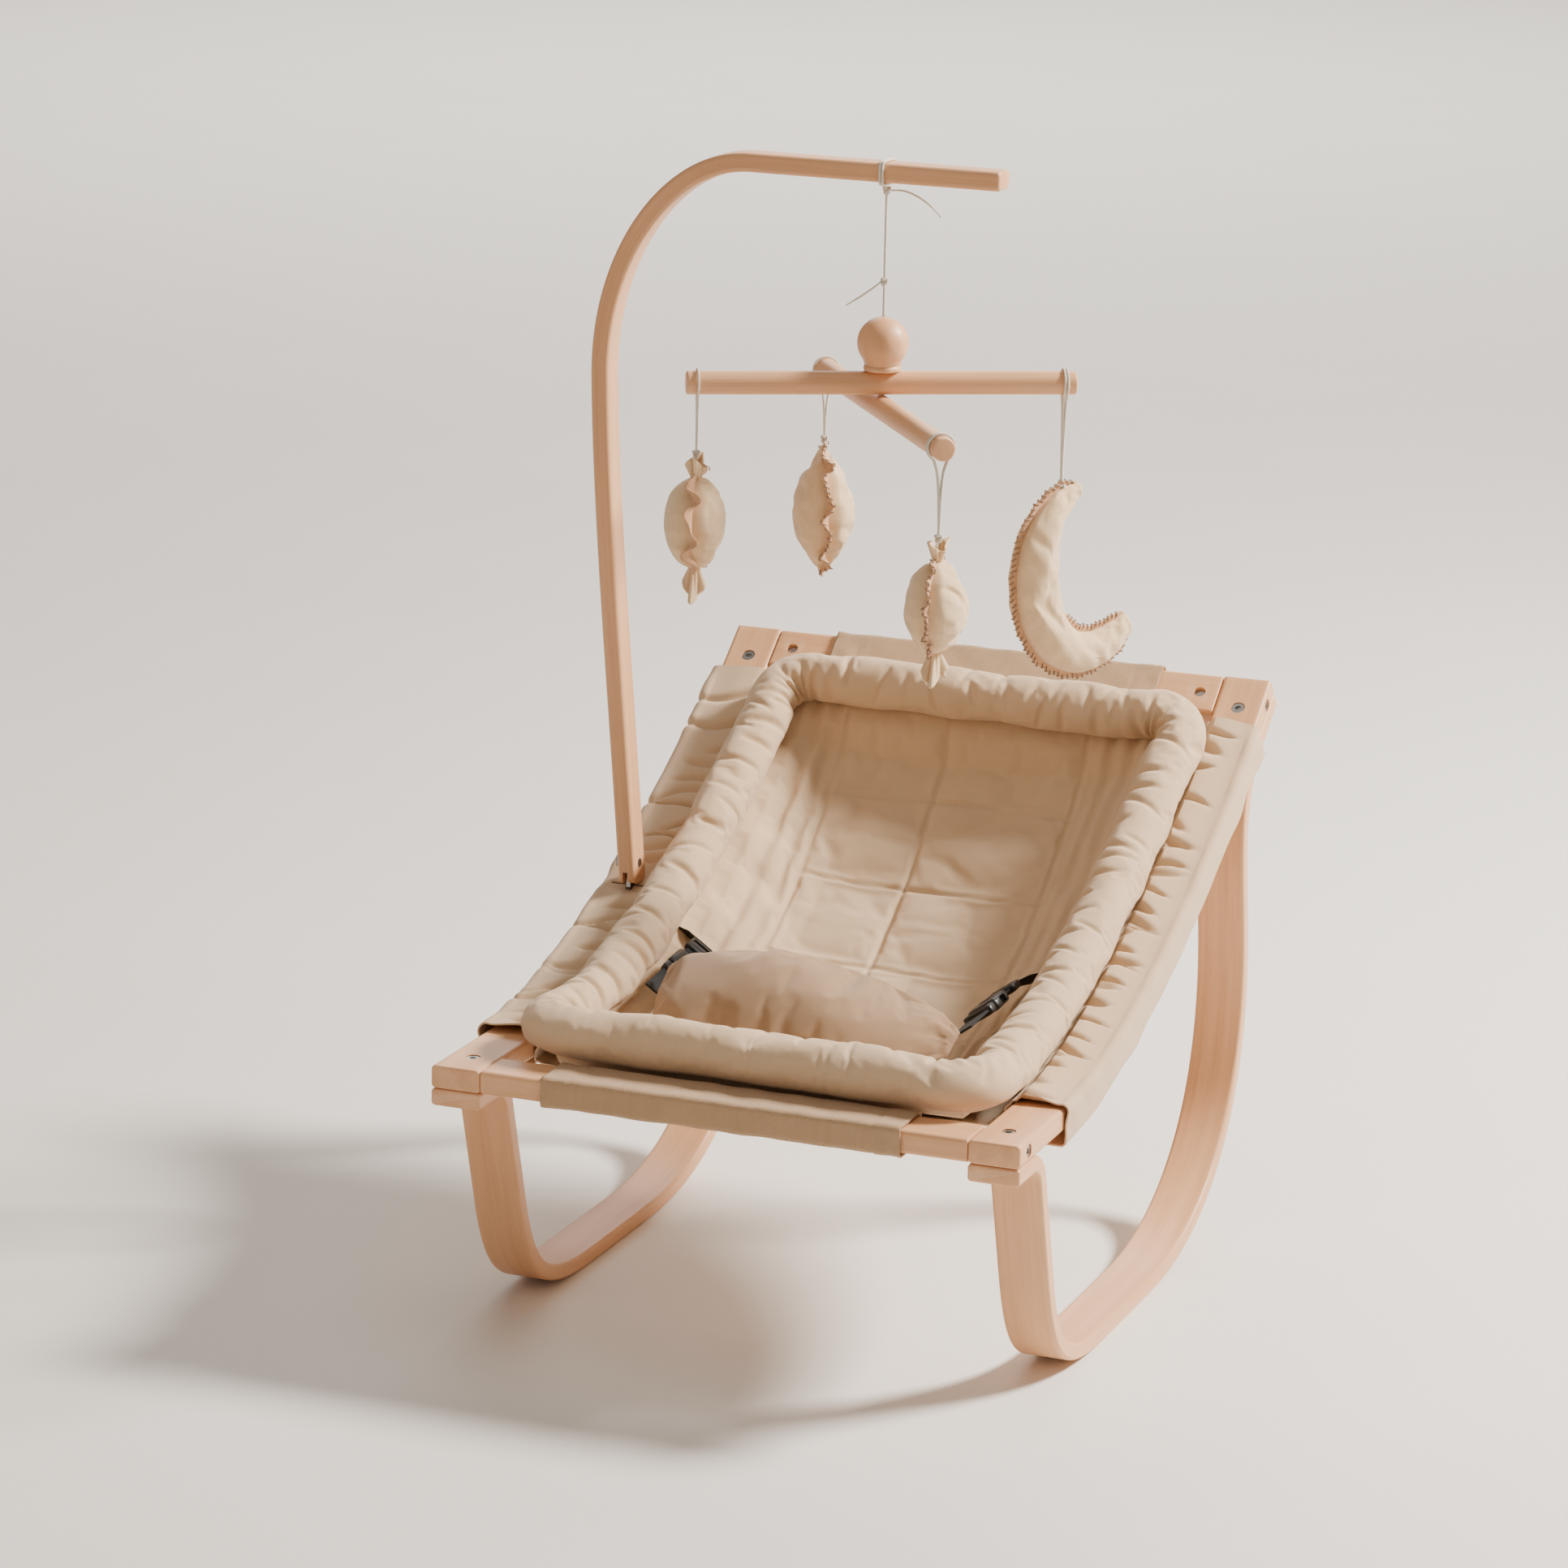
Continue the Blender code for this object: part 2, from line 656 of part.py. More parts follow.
def pivot_point():
    return on_rail(arch_station(), ARCH_FOOT_X, RAIL_THICK / 2 + ARCH_PIVOT_RISE)


def arch_line():
    """Centre line in the arch's own plane, from the foot up and over to the arm's end."""
    foot = (ARCH_FOOT_X, pivot_point().z)
    post = bezier(foot, (-0.2005, 0.40), (-0.2142, 0.53), (-0.2158, 0.625), 8)
    crook = bezier((-0.2158, 0.625), (-0.2172, 0.710), (-0.165, ARCH_TOP), (-0.106, ARCH_TOP), 14)
    return join(post, crook, [(ARCH_END_X, ARCH_TOP - 0.001)])


def make_arch():
    pivot = pivot_point()
    mesh = extruded_mesh("toy_arch", band(arch_line(), ARCH_THICK), ARCH_DEPTH / 2)
    place = Matrix.Translation((0, pivot.y, 0)) @ FRONT_PLANE
    arch = bevel(add_part("toy_arch", mesh, WOOD, place))
    across = Matrix.Translation(pivot) @ Matrix.Rotation(math.radians(90), 4, "Y")
    sole = arc((0, 0), FOOT_RADIUS, -134, -46, 8) + [(0.011, 0.012), (-0.011, 0.012)]
    foot = mesh_bmesh(extruded_mesh("foot", sole, ARCH_THICK / 2))
    cut(arch, foot, Matrix.Translation(pivot) @ SIDE_PLANE, "UNION")
    room = EAR_THICK / 2 + 0.0004
    cut(arch, cylinder_bmesh(POCKET_RADIUS, -room, room, 32), across)
    open_height = 0.024
    below = Vector((0, 0, -POCKET_OPEN - open_height / 2))
    cut(arch, box_bmesh((2 * room, 0.040, open_height)), Matrix.Translation(pivot + below))
    cut(arch, cylinder_bmesh(BOLT_RADIUS + GAP, -0.02, 0.02), across)
    recess = Matrix.Translation((ARCH_THICK / 2 - ARCH_NUT_DEPTH, 0, 0))
    cut(arch, cylinder_bmesh(ARCH_NUT_RADIUS + GAP, 0.0, 0.01), recess @ across)
    return arch


def make_arch_bracket():
    """A steel ear welded to a plate, which is screwed to the rail inside the sleeve's window."""
    s = arch_station()
    base = rail_frame(s, ARCH_FOOT_X, RAIL_THICK / 2 + GAP + 0.0011)
    bracket = bmesh_part("arch_bracket", box_bmesh((0.0240, 0.0240, 0.0022)), STEEL, base)
    pivot = pivot_point()
    across = Matrix.Translation(pivot) @ Matrix.Rotation(math.radians(90), 4, "Y")
    slope = Matrix.Rotation(rail_angle(s), 4, "X")
    foot = Matrix.Translation(pivot + Vector((0, 0, -ARCH_PIVOT_RISE / math.cos(rail_angle(s)))))
    weld = Matrix.Translation((0, 0, GAP + 0.0033))
    cut(bracket, box_bmesh((EAR_THICK, 2 * EAR_HALF, 0.0040)), foot @ slope @ weld, "UNION")
    stem = ARCH_PIVOT_RISE - 0.0015
    middle = Matrix.Translation(pivot + Vector((0, 0, -stem / 2)))
    cut(bracket, box_bmesh((EAR_THICK, 2 * EAR_HALF, stem)), middle, "UNION")
    cut(bracket, cylinder_bmesh(EAR_HEAD, -EAR_THICK / 2, EAR_THICK / 2, 24), across, "UNION")
    cut(bracket, cylinder_bmesh(BOLT_RADIUS + GAP, -0.01, 0.01), across)
    rail = bpy.data.objects["side_rail_left"]
    for word, x in (("outer", -0.0080), ("inner", 0.0080)):
        seat = rail_frame(s, ARCH_FOOT_X + x)
        cut(bracket, cylinder_bmesh(0.0018, 0.0, 0.02), seat)
        cut(rail, cylinder_bmesh(0.0018, 0.0, 0.02), seat)
        head = rail_frame(s, ARCH_FOOT_X + x, RAIL_THICK / 2 + 2 * GAP + 0.0022)
        turned_part(f"bracket_screw_{word}", bolt_profile(0.0026, 0.0008, 0.0015, 0.0090), STEEL, head, 12)
    return bracket


def make_arch_bolt():
    pivot = pivot_point()
    across = Matrix.Rotation(math.radians(-90), 4, "Y")
    reach = ARCH_THICK / 2 + 0.0009
    seat = Matrix.Translation(pivot + Vector((-reach, 0, 0))) @ across
    length = reach + ARCH_THICK / 2 - 0.0004
    turned_part("arch_bolt", bolt_profile(0.0042, 0.0026, BOLT_RADIUS, length), STEEL, seat)
    nut_place = Matrix.Translation(pivot + Vector((ARCH_THICK / 2 - ARCH_NUT_DEPTH + GAP, 0, 0)))
    nut_place = nut_place @ Matrix.Rotation(math.radians(90), 4, "Y")
    nut = bmesh_part("arch_nut", cylinder_bmesh(ARCH_NUT_RADIUS, 0.0, 0.0022, 16), STEEL, nut_place)
    cut(nut, cylinder_bmesh(BOLT_RADIUS + GAP, -0.01, 0.01), nut_place)


# ---------------------------------------------------------------- mobile
def rounded_loop(half_x, half_z, corner):
    """Closed rounded rectangle, as (u, v) points."""
    loop = []
    for cx, cz, start in ((1, -1, -90), (1, 1, 0), (-1, 1, 90), (-1, -1, 180)):
        loop += arc((cx * (half_x - corner), cz * (half_z - corner)), corner, start, start + 90, 3)
    return loop


def make_strings():
    x, y = MOBILE
    clear = STRING_RADIUS + GAP
    plan = rounded_loop(ARCH_DEPTH / 2 + clear, ARCH_THICK / 2 + clear, 0.002)
    arm_z = ARCH_TOP - 0.0007
    pivot_y = pivot_point().y
    tube_part("arm_loop", [(x, pivot_y + u, arm_z + v) for u, v in plan], STRING_RADIUS, COTTON, cyclic=True)
    knot_z = arm_z - ARCH_THICK / 2 - 2 * clear - 0.0032
    knot = [(0.0, 0.0028), (0.0020, 0.0020), (0.0028, 0.0), (0.0020, -0.0020), (0.0, -0.0028)]
    turned_part("arm_knot", knot, COTTON, Matrix.Translation((x, pivot_y, knot_z)), 8)
    top = knot_z - 0.0028 - GAP
    hub_top = HUB_Z + HUB_RADIUS + GAP
    line = [(x, pivot_y, z) for z in (top, (top + hub_top) / 2, hub_top)]
    tube_part("mobile_string", line, STRING_RADIUS, COTTON)
    tail = [(0.0034, 0.0), (0.011, 0.0008), (0.019, -0.0012)]
    tail += [(0.027, -0.0050), (0.034, -0.0100), (0.040, -0.0160)]
    tube_part("arm_string_tail", [(x + u, pivot_y, knot_z + v) for u, v in tail], 0.0007, COTTON)
    start = hub_top + 0.024
    tail = [(-0.0022, 0.0), (-0.007, -0.004), (-0.013, -0.0085), (-0.0195, -0.0130), (-0.026, -0.0172)]
    tube_part("ball_string_tail", [(x + u, pivot_y, start + v) for u, v in tail], 0.0007, COTTON)


def make_hub():
    """The turned ball with a foot that sits on the upper dowel."""
    foot_z = UPPER_Z + DOWEL_RADIUS + GAP - HUB_Z
    angles = [math.pi * i / 12 for i in range(10)]
    profile = [(HUB_RADIUS * math.sin(a), HUB_RADIUS * math.cos(a)) for a in angles]
    profile += [(0.0125, foot_z + 0.0040), (0.0130, foot_z + 0.0020), (0.0130, foot_z), (0.0, foot_z)]
    x, y = MOBILE
    hub = turned_part("mobile_hub", profile, WOOD, Matrix.Translation((x, pivot_point().y, HUB_Z)), 20)
    peg_hole = Matrix.Translation((x, pivot_point().y, UPPER_Z))
    cut(hub, cylinder_bmesh(PEG_RADIUS + GAP, -0.01, 0.0180, 12), peg_hole)


def dowel_place(z, yaw):
    x, _ = MOBILE
    lie = Matrix.Rotation(math.radians(90), 4, "Y")
    return Matrix.Translation((x, pivot_point().y, z)) @ Matrix.Rotation(yaw, 4, "Z") @ lie


def make_dowel(name, length, z, yaw):
    round_bar = cylinder_bmesh(DOWEL_RADIUS, -length / 2, length / 2, 20)
    dowel = bmesh_part(name, round_bar, WOOD, dowel_place(z, yaw))
    bevel(dowel, 0.0012)
    x, _ = MOBILE
    cut(dowel, cylinder_bmesh(PEG_RADIUS + GAP, -0.02, 0.02, 12), Matrix.Translation((x, pivot_point().y, z)))


def make_peg():
    x, _ = MOBILE
    low = LOWER_Z - DOWEL_RADIUS + 0.001
    high = UPPER_Z + 0.0174
    place = Matrix.Translation((x, pivot_point().y, 0))
    bmesh_part("mobile_peg", cylinder_bmesh(PEG_RADIUS, low, high, 12), WOOD, place)


def hang_point(length, z, yaw, end):
    """The point on a dowel's axis where a toy hangs."""
    reach = end * (length / 2 - HANG_INSET)
    x, _ = MOBILE
    return Vector((x + reach * math.cos(yaw), pivot_point().y + reach * math.sin(yaw), z))


# name, dowel length, dowel height, dowel yaw, which end, length of string below the dowel
TOYS = (
    ("candy", UPPER_LENGTH, UPPER_Z, UPPER_YAW, -1, 0.042),
    ("moon", UPPER_LENGTH, UPPER_Z, UPPER_YAW, 1, 0.050),
    ("lemon", LOWER_LENGTH, LOWER_Z, LOWER_YAW, -1, 0.044),
    ("bonbon", LOWER_LENGTH, LOWER_Z, LOWER_YAW, 1, 0.0535),
)


def make_toy_string(name, hang, yaw, drop):
    """A ring round the dowel with the string that hangs from it."""
    bm = cylinder_bmesh(STRING_RADIUS, -drop - DOWEL_RADIUS, -DOWEL_RADIUS - GAP - 0.0002, 8)
    string = bmesh_part(f"{name}_string", bm, COTTON, Matrix.Translation(hang))
    ring_mesh = torus_bmesh(DOWEL_RADIUS + GAP + STRING_RADIUS, STRING_RADIUS, 24, 8)
    turn = Matrix.Rotation(yaw, 4, "Z") @ Matrix.Rotation(math.radians(90), 4, "Y")
    cut(string, ring_mesh, Matrix.Translation(hang) @ turn, "UNION")


def torus_bmesh(major, minor, around, sides):
    bm = bmesh.new()
    rings = []
    for i in range(around):
        a = 2 * math.pi * i / around
        ring = []
        for j in range(sides):
            b = 2 * math.pi * j / sides
            r = major + minor * math.cos(b)
            ring.append(bm.verts.new((r * math.cos(a), r * math.sin(a), minor * math.sin(b))))
        rings.append(ring)
    for i in range(around):
        for j in range(sides):
            k, m = (i + 1) % around, (j + 1) % sides
            bm.faces.new((rings[i][j], rings[k][j], rings[k][m], rings[i][m]))
    bmesh.ops.recalc_face_normals(bm, faces=bm.faces)
    return bm


def toy_place(hang, drop, turn):
    top = hang + Vector((0, 0, -drop - DOWEL_RADIUS - GAP))
    return Matrix.Translation(top) @ Matrix.Rotation(turn, 4, "Z")


def pillow_part(name, profile, place, sides=14):
    """A stuffed shape with its seam in the local XZ plane. The profile is (half thickness, height)."""
    sections = []
    for radius, height in profile:
        ring = []
        for i in range(sides):
            angle = 2 * math.pi * i / sides
            local = Vector((radius * PILLOW_ASPECT * math.cos(angle), radius * math.sin(angle), height))
            ring.append(place @ local)
        sections.append(ring)
    return loft_part(name, sections, FELT)


def make_sweet(name, hang, drop):
    """A stuffed sweet with a gathered frill above and below."""
    profile = [
        (0.0030, 0.0), (0.0090, -0.0010), (0.0100, -0.0080), (0.0060, -0.0160), (0.0150, -0.0240),
        (0.0200, -0.0350), (0.0212, -0.0480), (0.0195, -0.0600), (0.0140, -0.0710), (0.0060, -0.0780),
        (0.0095, -0.0900), (0.0105, -0.1010), (0.0030, -0.1030),
    ]
    pillow_part(f"toy_{name}", profile, toy_place(hang, drop, TOY_TURNS[name]))


def make_lemon(name, hang, drop):
    """A stuffed lemon, pointed at both ends."""
    profile = [
        (0.0010, 0.0), (0.0035, -0.0050), (0.0100, -0.0150), (0.0180, -0.0290), (0.0222, -0.0450),
        (0.0225, -0.0600), (0.0185, -0.0740), (0.0110, -0.0870), (0.0050, -0.0950), (0.0010, -0.1000),
    ]
    pillow_part(f"toy_{name}", profile, toy_place(hang, drop, TOY_TURNS[name]))


def make_moon(name, hang, drop):
    """A stuffed crescent in an upright plane, hung from its upper horn."""
    curve = bpy.data.curves.new(f"toy_{name}", "CURVE")
    curve.dimensions = "3D"
    curve.bevel_depth = 0.0195
    curve.bevel_resolution = 3
    curve.use_fill_caps = True
    count = 18
    centre = (0.0420, -0.0640)
    spline = curve.splines.new("POLY")
    spline.points.add(count)
    for i, knot in enumerate(spline.points):
        t = i / count
        angle = math.radians(118 + 188 * t)
        radius = 0.0560 + 0.004 * t
        u = centre[0] + 0.86 * radius * math.cos(angle)
        knot.co = (u, 0.0, centre[1] + radius * math.sin(angle), 1.0)
        knot.radius = 0.20 + 0.80 * math.sin(math.pi * t) ** 0.8
    add_part(f"toy_{name}", curve, FELT, toy_place(hang, drop, TOY_TURNS[name]))


PILLOW_ASPECT = 1.4  # width over thickness of a sweet or the lemon
TOY_TURNS = {
    "candy": math.radians(-74.0),
    "lemon": math.radians(-62.0),
    "bonbon": math.radians(-84.0),
    "moon": math.radians(58.0),
}
TOY_MAKERS = {"candy": make_sweet, "lemon": make_lemon, "bonbon": make_sweet, "moon": make_moon}


def make_toys():
    for name, length, z, yaw, end, drop in TOYS:
        hang = hang_point(length, z, yaw, end)
        make_toy_string(name, hang, yaw, drop)
        TOY_MAKERS[name](name, hang, drop)


def make_mobile():
    make_strings()
    make_hub()
    make_dowel("upper_dowel", UPPER_LENGTH, UPPER_Z, UPPER_YAW)
    make_dowel("lower_dowel", LOWER_LENGTH, LOWER_Z, LOWER_YAW)
    make_peg()
    make_toys()


# ---------------------------------------------------------------- the whole object
def smooth_round_pieces():
    for obj in PARTS.objects:
        if obj.type == "MESH" and not any(m.type == "SCREW" for m in obj.modifiers):
            obj.data.shade_smooth()
            obj.data.set_sharp_from_angle(angle=math.radians(40))


def main():
    for side, word in ((-1, "left"), (1, "right")):
        make_side_rail(side, word)
        make_rocker(side, word)
        make_frame_fasteners(side, word)
        make_belt(side, word)
    make_crossbar("front", BAR_DEPTH / 2)
    make_crossbar("rear", RAIL_LENGTH - BAR_DEPTH / 2)
    make_sling()
    make_bar_loop("front", BAR_DEPTH / 2, 0.0650)
    make_bar_loop("rear", RAIL_LENGTH - BAR_DEPTH / 2, 0.0260)
    make_pad()
    make_roll()
    make_lap_cover()
    make_arch()
    make_arch_bracket()
    make_arch_bolt()
    make_mobile()
    smooth_round_pieces()


main()
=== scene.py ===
"""Looks of the bouncer seat: bent beech, linen sling and quilted pad, toy arch and mobile.

Everything is laid out in metres from the front end of the side rails (y = 0, +Y towards the head
end, z = 0 on the floor), as the CAD model is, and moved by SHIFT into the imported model's frame.
"""

import math
from contextlib import contextmanager

import bmesh
import bpy
import numpy as np
from mathutils import Matrix, Vector


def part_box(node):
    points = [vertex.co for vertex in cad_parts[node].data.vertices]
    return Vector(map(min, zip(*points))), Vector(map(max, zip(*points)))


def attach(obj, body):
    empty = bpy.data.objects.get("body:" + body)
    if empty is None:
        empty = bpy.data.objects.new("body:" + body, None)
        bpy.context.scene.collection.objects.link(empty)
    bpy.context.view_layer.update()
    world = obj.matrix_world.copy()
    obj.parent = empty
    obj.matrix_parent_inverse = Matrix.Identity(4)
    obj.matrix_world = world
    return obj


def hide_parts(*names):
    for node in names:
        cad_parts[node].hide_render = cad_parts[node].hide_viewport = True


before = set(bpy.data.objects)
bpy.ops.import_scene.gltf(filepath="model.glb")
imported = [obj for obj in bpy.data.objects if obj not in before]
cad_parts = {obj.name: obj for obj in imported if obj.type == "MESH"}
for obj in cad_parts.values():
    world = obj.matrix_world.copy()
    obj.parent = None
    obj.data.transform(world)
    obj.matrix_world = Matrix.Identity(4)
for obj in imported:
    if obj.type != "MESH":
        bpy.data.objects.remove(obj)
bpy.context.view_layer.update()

LEFT_RAIL, RIGHT_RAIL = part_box("side_rail_left"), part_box("side_rail_right")
SHIFT = np.array([(LEFT_RAIL[0].x + RIGHT_RAIL[1].x) / 2, LEFT_RAIL[0].y, 0.0])

# ---------------------------------------------------------------- dimensions shared with the CAD
WIDTH = RIGHT_RAIL[1].x - LEFT_RAIL[0].x
RAIL_WIDTH = RIGHT_RAIL[1].x - RIGHT_RAIL[0].x
RAIL_THICK = 0.016
ROCKER_THICK = 0.012
RAIL_HEIGHT = 0.19
RAIL_LEVEL = 0.085
RAIL_REAR = (0.5486, 0.3884)
RAIL_REAR_SLOPE = math.radians(39.0)
GAP = 0.0003
BAR_DEPTH = 0.036
RAIL_X = (WIDTH - RAIL_WIDTH) / 2
BAR_HALF = WIDTH / 2 - RAIL_WIDTH - GAP
BOLT_INSET = 0.018
SCREW_INSET = 0.029
NUT_X = WIDTH / 2 - RAIL_WIDTH - 0.014
BOLT_HOLE = 0.0028  # radii of the holes
SCREW_HOLE = 0.0025
HEAD_HOLE = 0.005
NUT_HOLE = 0.0043
PEG_HOLE = 0.0028
SLING_START = 0.088
SLING_END_INSET = 0.046
SLING_SAG = 0.042
LOOP_HALF = 0.128
ROLL_X = 0.1555
ROLL_SHIFT = 0.0075
ROLL_RISE = 0.028
ROLL_FRONT = 0.0496
ROLL_REAR_INSET = 0.062
ROLL_CORNER = 0.027
STRAP_WIDTH = 0.02
STRAP_TILT = math.radians(36.0)
BELT_FRONT = (0.112, 0.158, 0.219)
BELT_REAR = (0.1135, 0.276, 0.2275)
ARCH_THICK = 0.0135
ARCH_DEPTH = 0.022
ARCH_FOOT_X = -0.1905
ARCH_TOP = 0.7812
ARCH_END_X = 0.0775
FOOT_RADIUS = 0.0158
DOWEL_RADIUS = 0.0082
STRING_RADIUS = 0.001
UPPER_YAW = math.radians(28.0)
LOWER_YAW = math.radians(-54.5)


# ---------------------------------------------------------------- camera and stage
def add_object(name, data):
    obj = bpy.data.objects.new(name, data)
    bpy.context.scene.collection.objects.link(obj)
    return obj


CAMERA_ANGLES = (21.188, 14.176, 1.2076)  # azimuth, elevation and roll, in degrees
CAMERA_PLACE = (1.2436, -3.1027, 1.2618)
CAMERA_LENS = 121.8  # mm
FLOOR_REACH = 40.0


def make_camera():
    azimuth, elevation, roll = (math.radians(angle) for angle in CAMERA_ANGLES)
    flat = math.cos(elevation)
    back = Vector((math.sin(azimuth) * flat, -math.cos(azimuth) * flat, math.sin(elevation)))
    level = (-back).cross(Vector((0, 0, 1))).normalized()
    upright = level.cross(-back)
    right = level * math.cos(roll) + upright * math.sin(roll)
    up = upright * math.cos(roll) - level * math.sin(roll)
    place = Vector(CAMERA_PLACE) + Vector(SHIFT)
    data = bpy.data.cameras.new("camera")
    data.sensor_width = 36.0
    data.lens = CAMERA_LENS
    data.clip_end = 200.0
    camera = add_object("camera", data)
    camera.matrix_world = Matrix(
        [(right[i], up[i], back[i], place[i]) for i in range(3)] + [(0.0, 0.0, 0.0, 1.0)]
    )
    bpy.context.scene.camera = camera


def area_light(name, place, target, size, power, colour):
    data = bpy.data.lights.new(name, "AREA")
    data.shape = "DISK"
    data.size = size
    data.energy = power
    data.color = colour
    turn = (Vector(place) - Vector(target)).to_track_quat("Z", "Y").to_matrix().to_4x4()
    add_object(name, data).matrix_world = Matrix.Translation(place) @ turn


def make_lights():
    target = (0.0, 0.0, 0.3)
    area_light("key", (2.2, 1.35, 2.5), target, 0.8, 345.0, (1.0, 0.945, 0.88))
    area_light("fill", (-2.2, -2.6, 1.9), target, 2.6, 15.0, (1.0, 0.78, 0.6))
    area_light("top", (0.3, -0.4, 3.2), target, 2.4, 18.0, (1.0, 0.94, 0.86))
    area_light("far_floor", (-2.4, 7.0, 4.0), (-2.4, 7.2, 0.0), 6.0, 480.0, (1.0, 0.97, 0.94))
    world = bpy.data.worlds.new("studio")
    world.use_nodes = True
    background = world.node_tree.nodes["Background"].inputs
    background["Color"].default_value = (1.0, 0.9, 0.8, 1.0)
    background["Strength"].default_value = 0.29
    bpy.context.scene.world = world


# ---------------------------------------------------------------- shader nodes
def new_material(name, specular=0.5, **fixed):
    """A material whose Principled shader has these constant values. Returns material, tree and shader."""
    material = bpy.data.materials.new(name)
    material.use_nodes = True
    shader = material.node_tree.nodes["Principled BSDF"]
    shader.inputs["Specular IOR Level"].default_value = specular
    for socket, value in fixed.items():
        shader.inputs[socket.replace("_", " ")].default_value = value
    return material, material.node_tree, shader


def put(tree, kind, inputs, **settings):
    """Adds a node. Each input is a socket to link or a value to set."""
    added = tree.nodes.new(kind)
    for key, value in settings.items():
        setattr(added, key, value)
    for key, value in inputs.items():
        if isinstance(value, bpy.types.NodeSocket):
            tree.links.new(value, added.inputs[key])
        else:
            added.inputs[key].default_value = value
    return added


def calc(tree, operation, *values):
    return put(tree, "ShaderNodeMath", dict(enumerate(values)), operation=operation).outputs[0]


def times(tree, value, factor):
    return calc(tree, "MULTIPLY", value, factor)


def scaled(tree, value, factor, offset):
    """value x factor + offset."""
    return calc(tree, "MULTIPLY_ADD", value, factor, offset)


def vary(tree, value, amount, tone=1.0):
    """A tone with a 0 to 1 texture's swing about its middle added."""
    return scaled(tree, calc(tree, "SUBTRACT", value, 0.5), amount, tone)


def tint(tree, colour, tone, amount=1.0):
    """A colour multiplied by another."""
    return blend_colours(tree, amount, colour, tone, "MULTIPLY")


def noise(tree, vector, scale, detail=2.0, roughness=0.5):
    """Noise with one scale, or with one for each axis."""
    scale = scale if isinstance(scale, tuple) else (scale, scale, scale)
    spread = put(tree, "ShaderNodeVectorMath", {0: vector, 1: scale}, operation="MULTIPLY").outputs[0]
    inputs = {"Vector": spread, "Scale": 1.0, "Detail": detail, "Roughness": roughness}
    return put(tree, "ShaderNodeTexNoise", inputs).outputs["Fac"]


def ramp(tree, value, low, high, first=(0, 0, 0, 1), last=(1, 1, 1, 1)):
    """A colour that runs from first at low to last at high."""
    added = put(tree, "ShaderNodeValToRGB", {"Fac": value})
    stops = added.color_ramp.elements
    stops[0].position, stops[1].position = low, high
    stops[0].color, stops[1].color = first, last
    return added.outputs["Color"]


def blend_colours(tree, factor, first, second, mode="MIX"):
    added = put(tree, "ShaderNodeMix", {0: factor, 6: first, 7: second}, data_type="RGBA", blend_type=mode)
    return added.outputs[2]


def grey(tree, value):
    """A grey colour from a number."""
    return put(tree, "ShaderNodeCombineColor", {0: value, 1: value, 2: value}).outputs[0]


def surface_coords(tree):
    """(along, across, depth) of a piece, from its two UV maps, in metres."""
    first = put(tree, "ShaderNodeUVMap", {}, uv_map="along")
    second = put(tree, "ShaderNodeUVMap", {}, uv_map="depth")
    split_a = put(tree, "ShaderNodeSeparateXYZ", {0: first.outputs[0]})
    split_b = put(tree, "ShaderNodeSeparateXYZ", {0: second.outputs[0]})
    together = put(
        tree, "ShaderNodeCombineXYZ", {0: split_a.outputs[0], 1: split_a.outputs[1], 2: split_b.outputs[0]}
    )
    return together.outputs[0], split_a.outputs[0], split_a.outputs[1]


def finish_material(tree, shader, colour, roughness, height, strength, distance):
    tree.links.new(colour, shader.inputs["Base Color"])
    tree.links.new(roughness, shader.inputs["Roughness"])
    bump = put(tree, "ShaderNodeBump", {"Height": height, "Strength": strength, "Distance": distance})
    tree.links.new(bump.outputs[0], shader.inputs["Normal"])


def wood_material(name, light=(0.8, 0.455, 0.24, 1), dark=(0.66, 0.34, 0.165, 1)):
    """Beech under clear satin lacquer: soft bands, fine fibres and short dark flecks along the grain."""
    material, tree, shader = new_material(name, Coat_Weight=0.12, Coat_Roughness=0.3, specular=0.4)
    place, _, _ = surface_coords(tree)
    bands = noise(tree, place, (2.6, 62.0, 62.0), 3.0, 0.55)
    fibres = noise(tree, place, (16.0, 950.0, 950.0), 4.0, 0.65)
    cells = put(tree, "ShaderNodeVectorMath", {0: place, 1: (240.0, 1500.0, 1500.0)}, operation="MULTIPLY")
    fleck = put(tree, "ShaderNodeTexVoronoi", {"Vector": cells.outputs[0], "Scale": 1.0}).outputs["Distance"]
    fleck_mask = ramp(tree, fleck, 0.1, 0.3, (1, 1, 1, 1), (0, 0, 0, 1))
    patches = ramp(tree, noise(tree, place, (40.0, 160.0, 160.0)), 0.42, 0.62)
    fleck_mask = tint(tree, fleck_mask, patches)
    colour = blend_colours(tree, ramp(tree, bands, 0.3, 0.7), dark, light)
    colour = tint(tree, colour, ramp(tree, fibres, 0.3, 0.7, (0.62, 0.5, 0.42, 1)), 0.3)
    fleck_weight = times(tree, fleck_mask, 0.34)
    colour = blend_colours(tree, fleck_weight, colour, (0.38, 0.2, 0.11, 1))
    # Painted highlight: sharp edges are lightened in the colour, standing in for the light that the chamfers
    # catch.
    edge = put(tree, "ShaderNodeNewGeometry", {}).outputs["Pointiness"]
    painted_edge_highlight = times(tree, ramp(tree, edge, 0.52, 0.6), 0.22)
    colour = blend_colours(tree, painted_edge_highlight, colour, (0.9, 0.66, 0.46, 1))
    roughness = scaled(tree, fibres, 0.22, 0.36)
    height = calc(tree, "SUBTRACT", fibres, times(tree, fleck_mask, 0.5))
    finish_material(tree, shader, colour, roughness, height, 0.25, 0.0003)
    return material


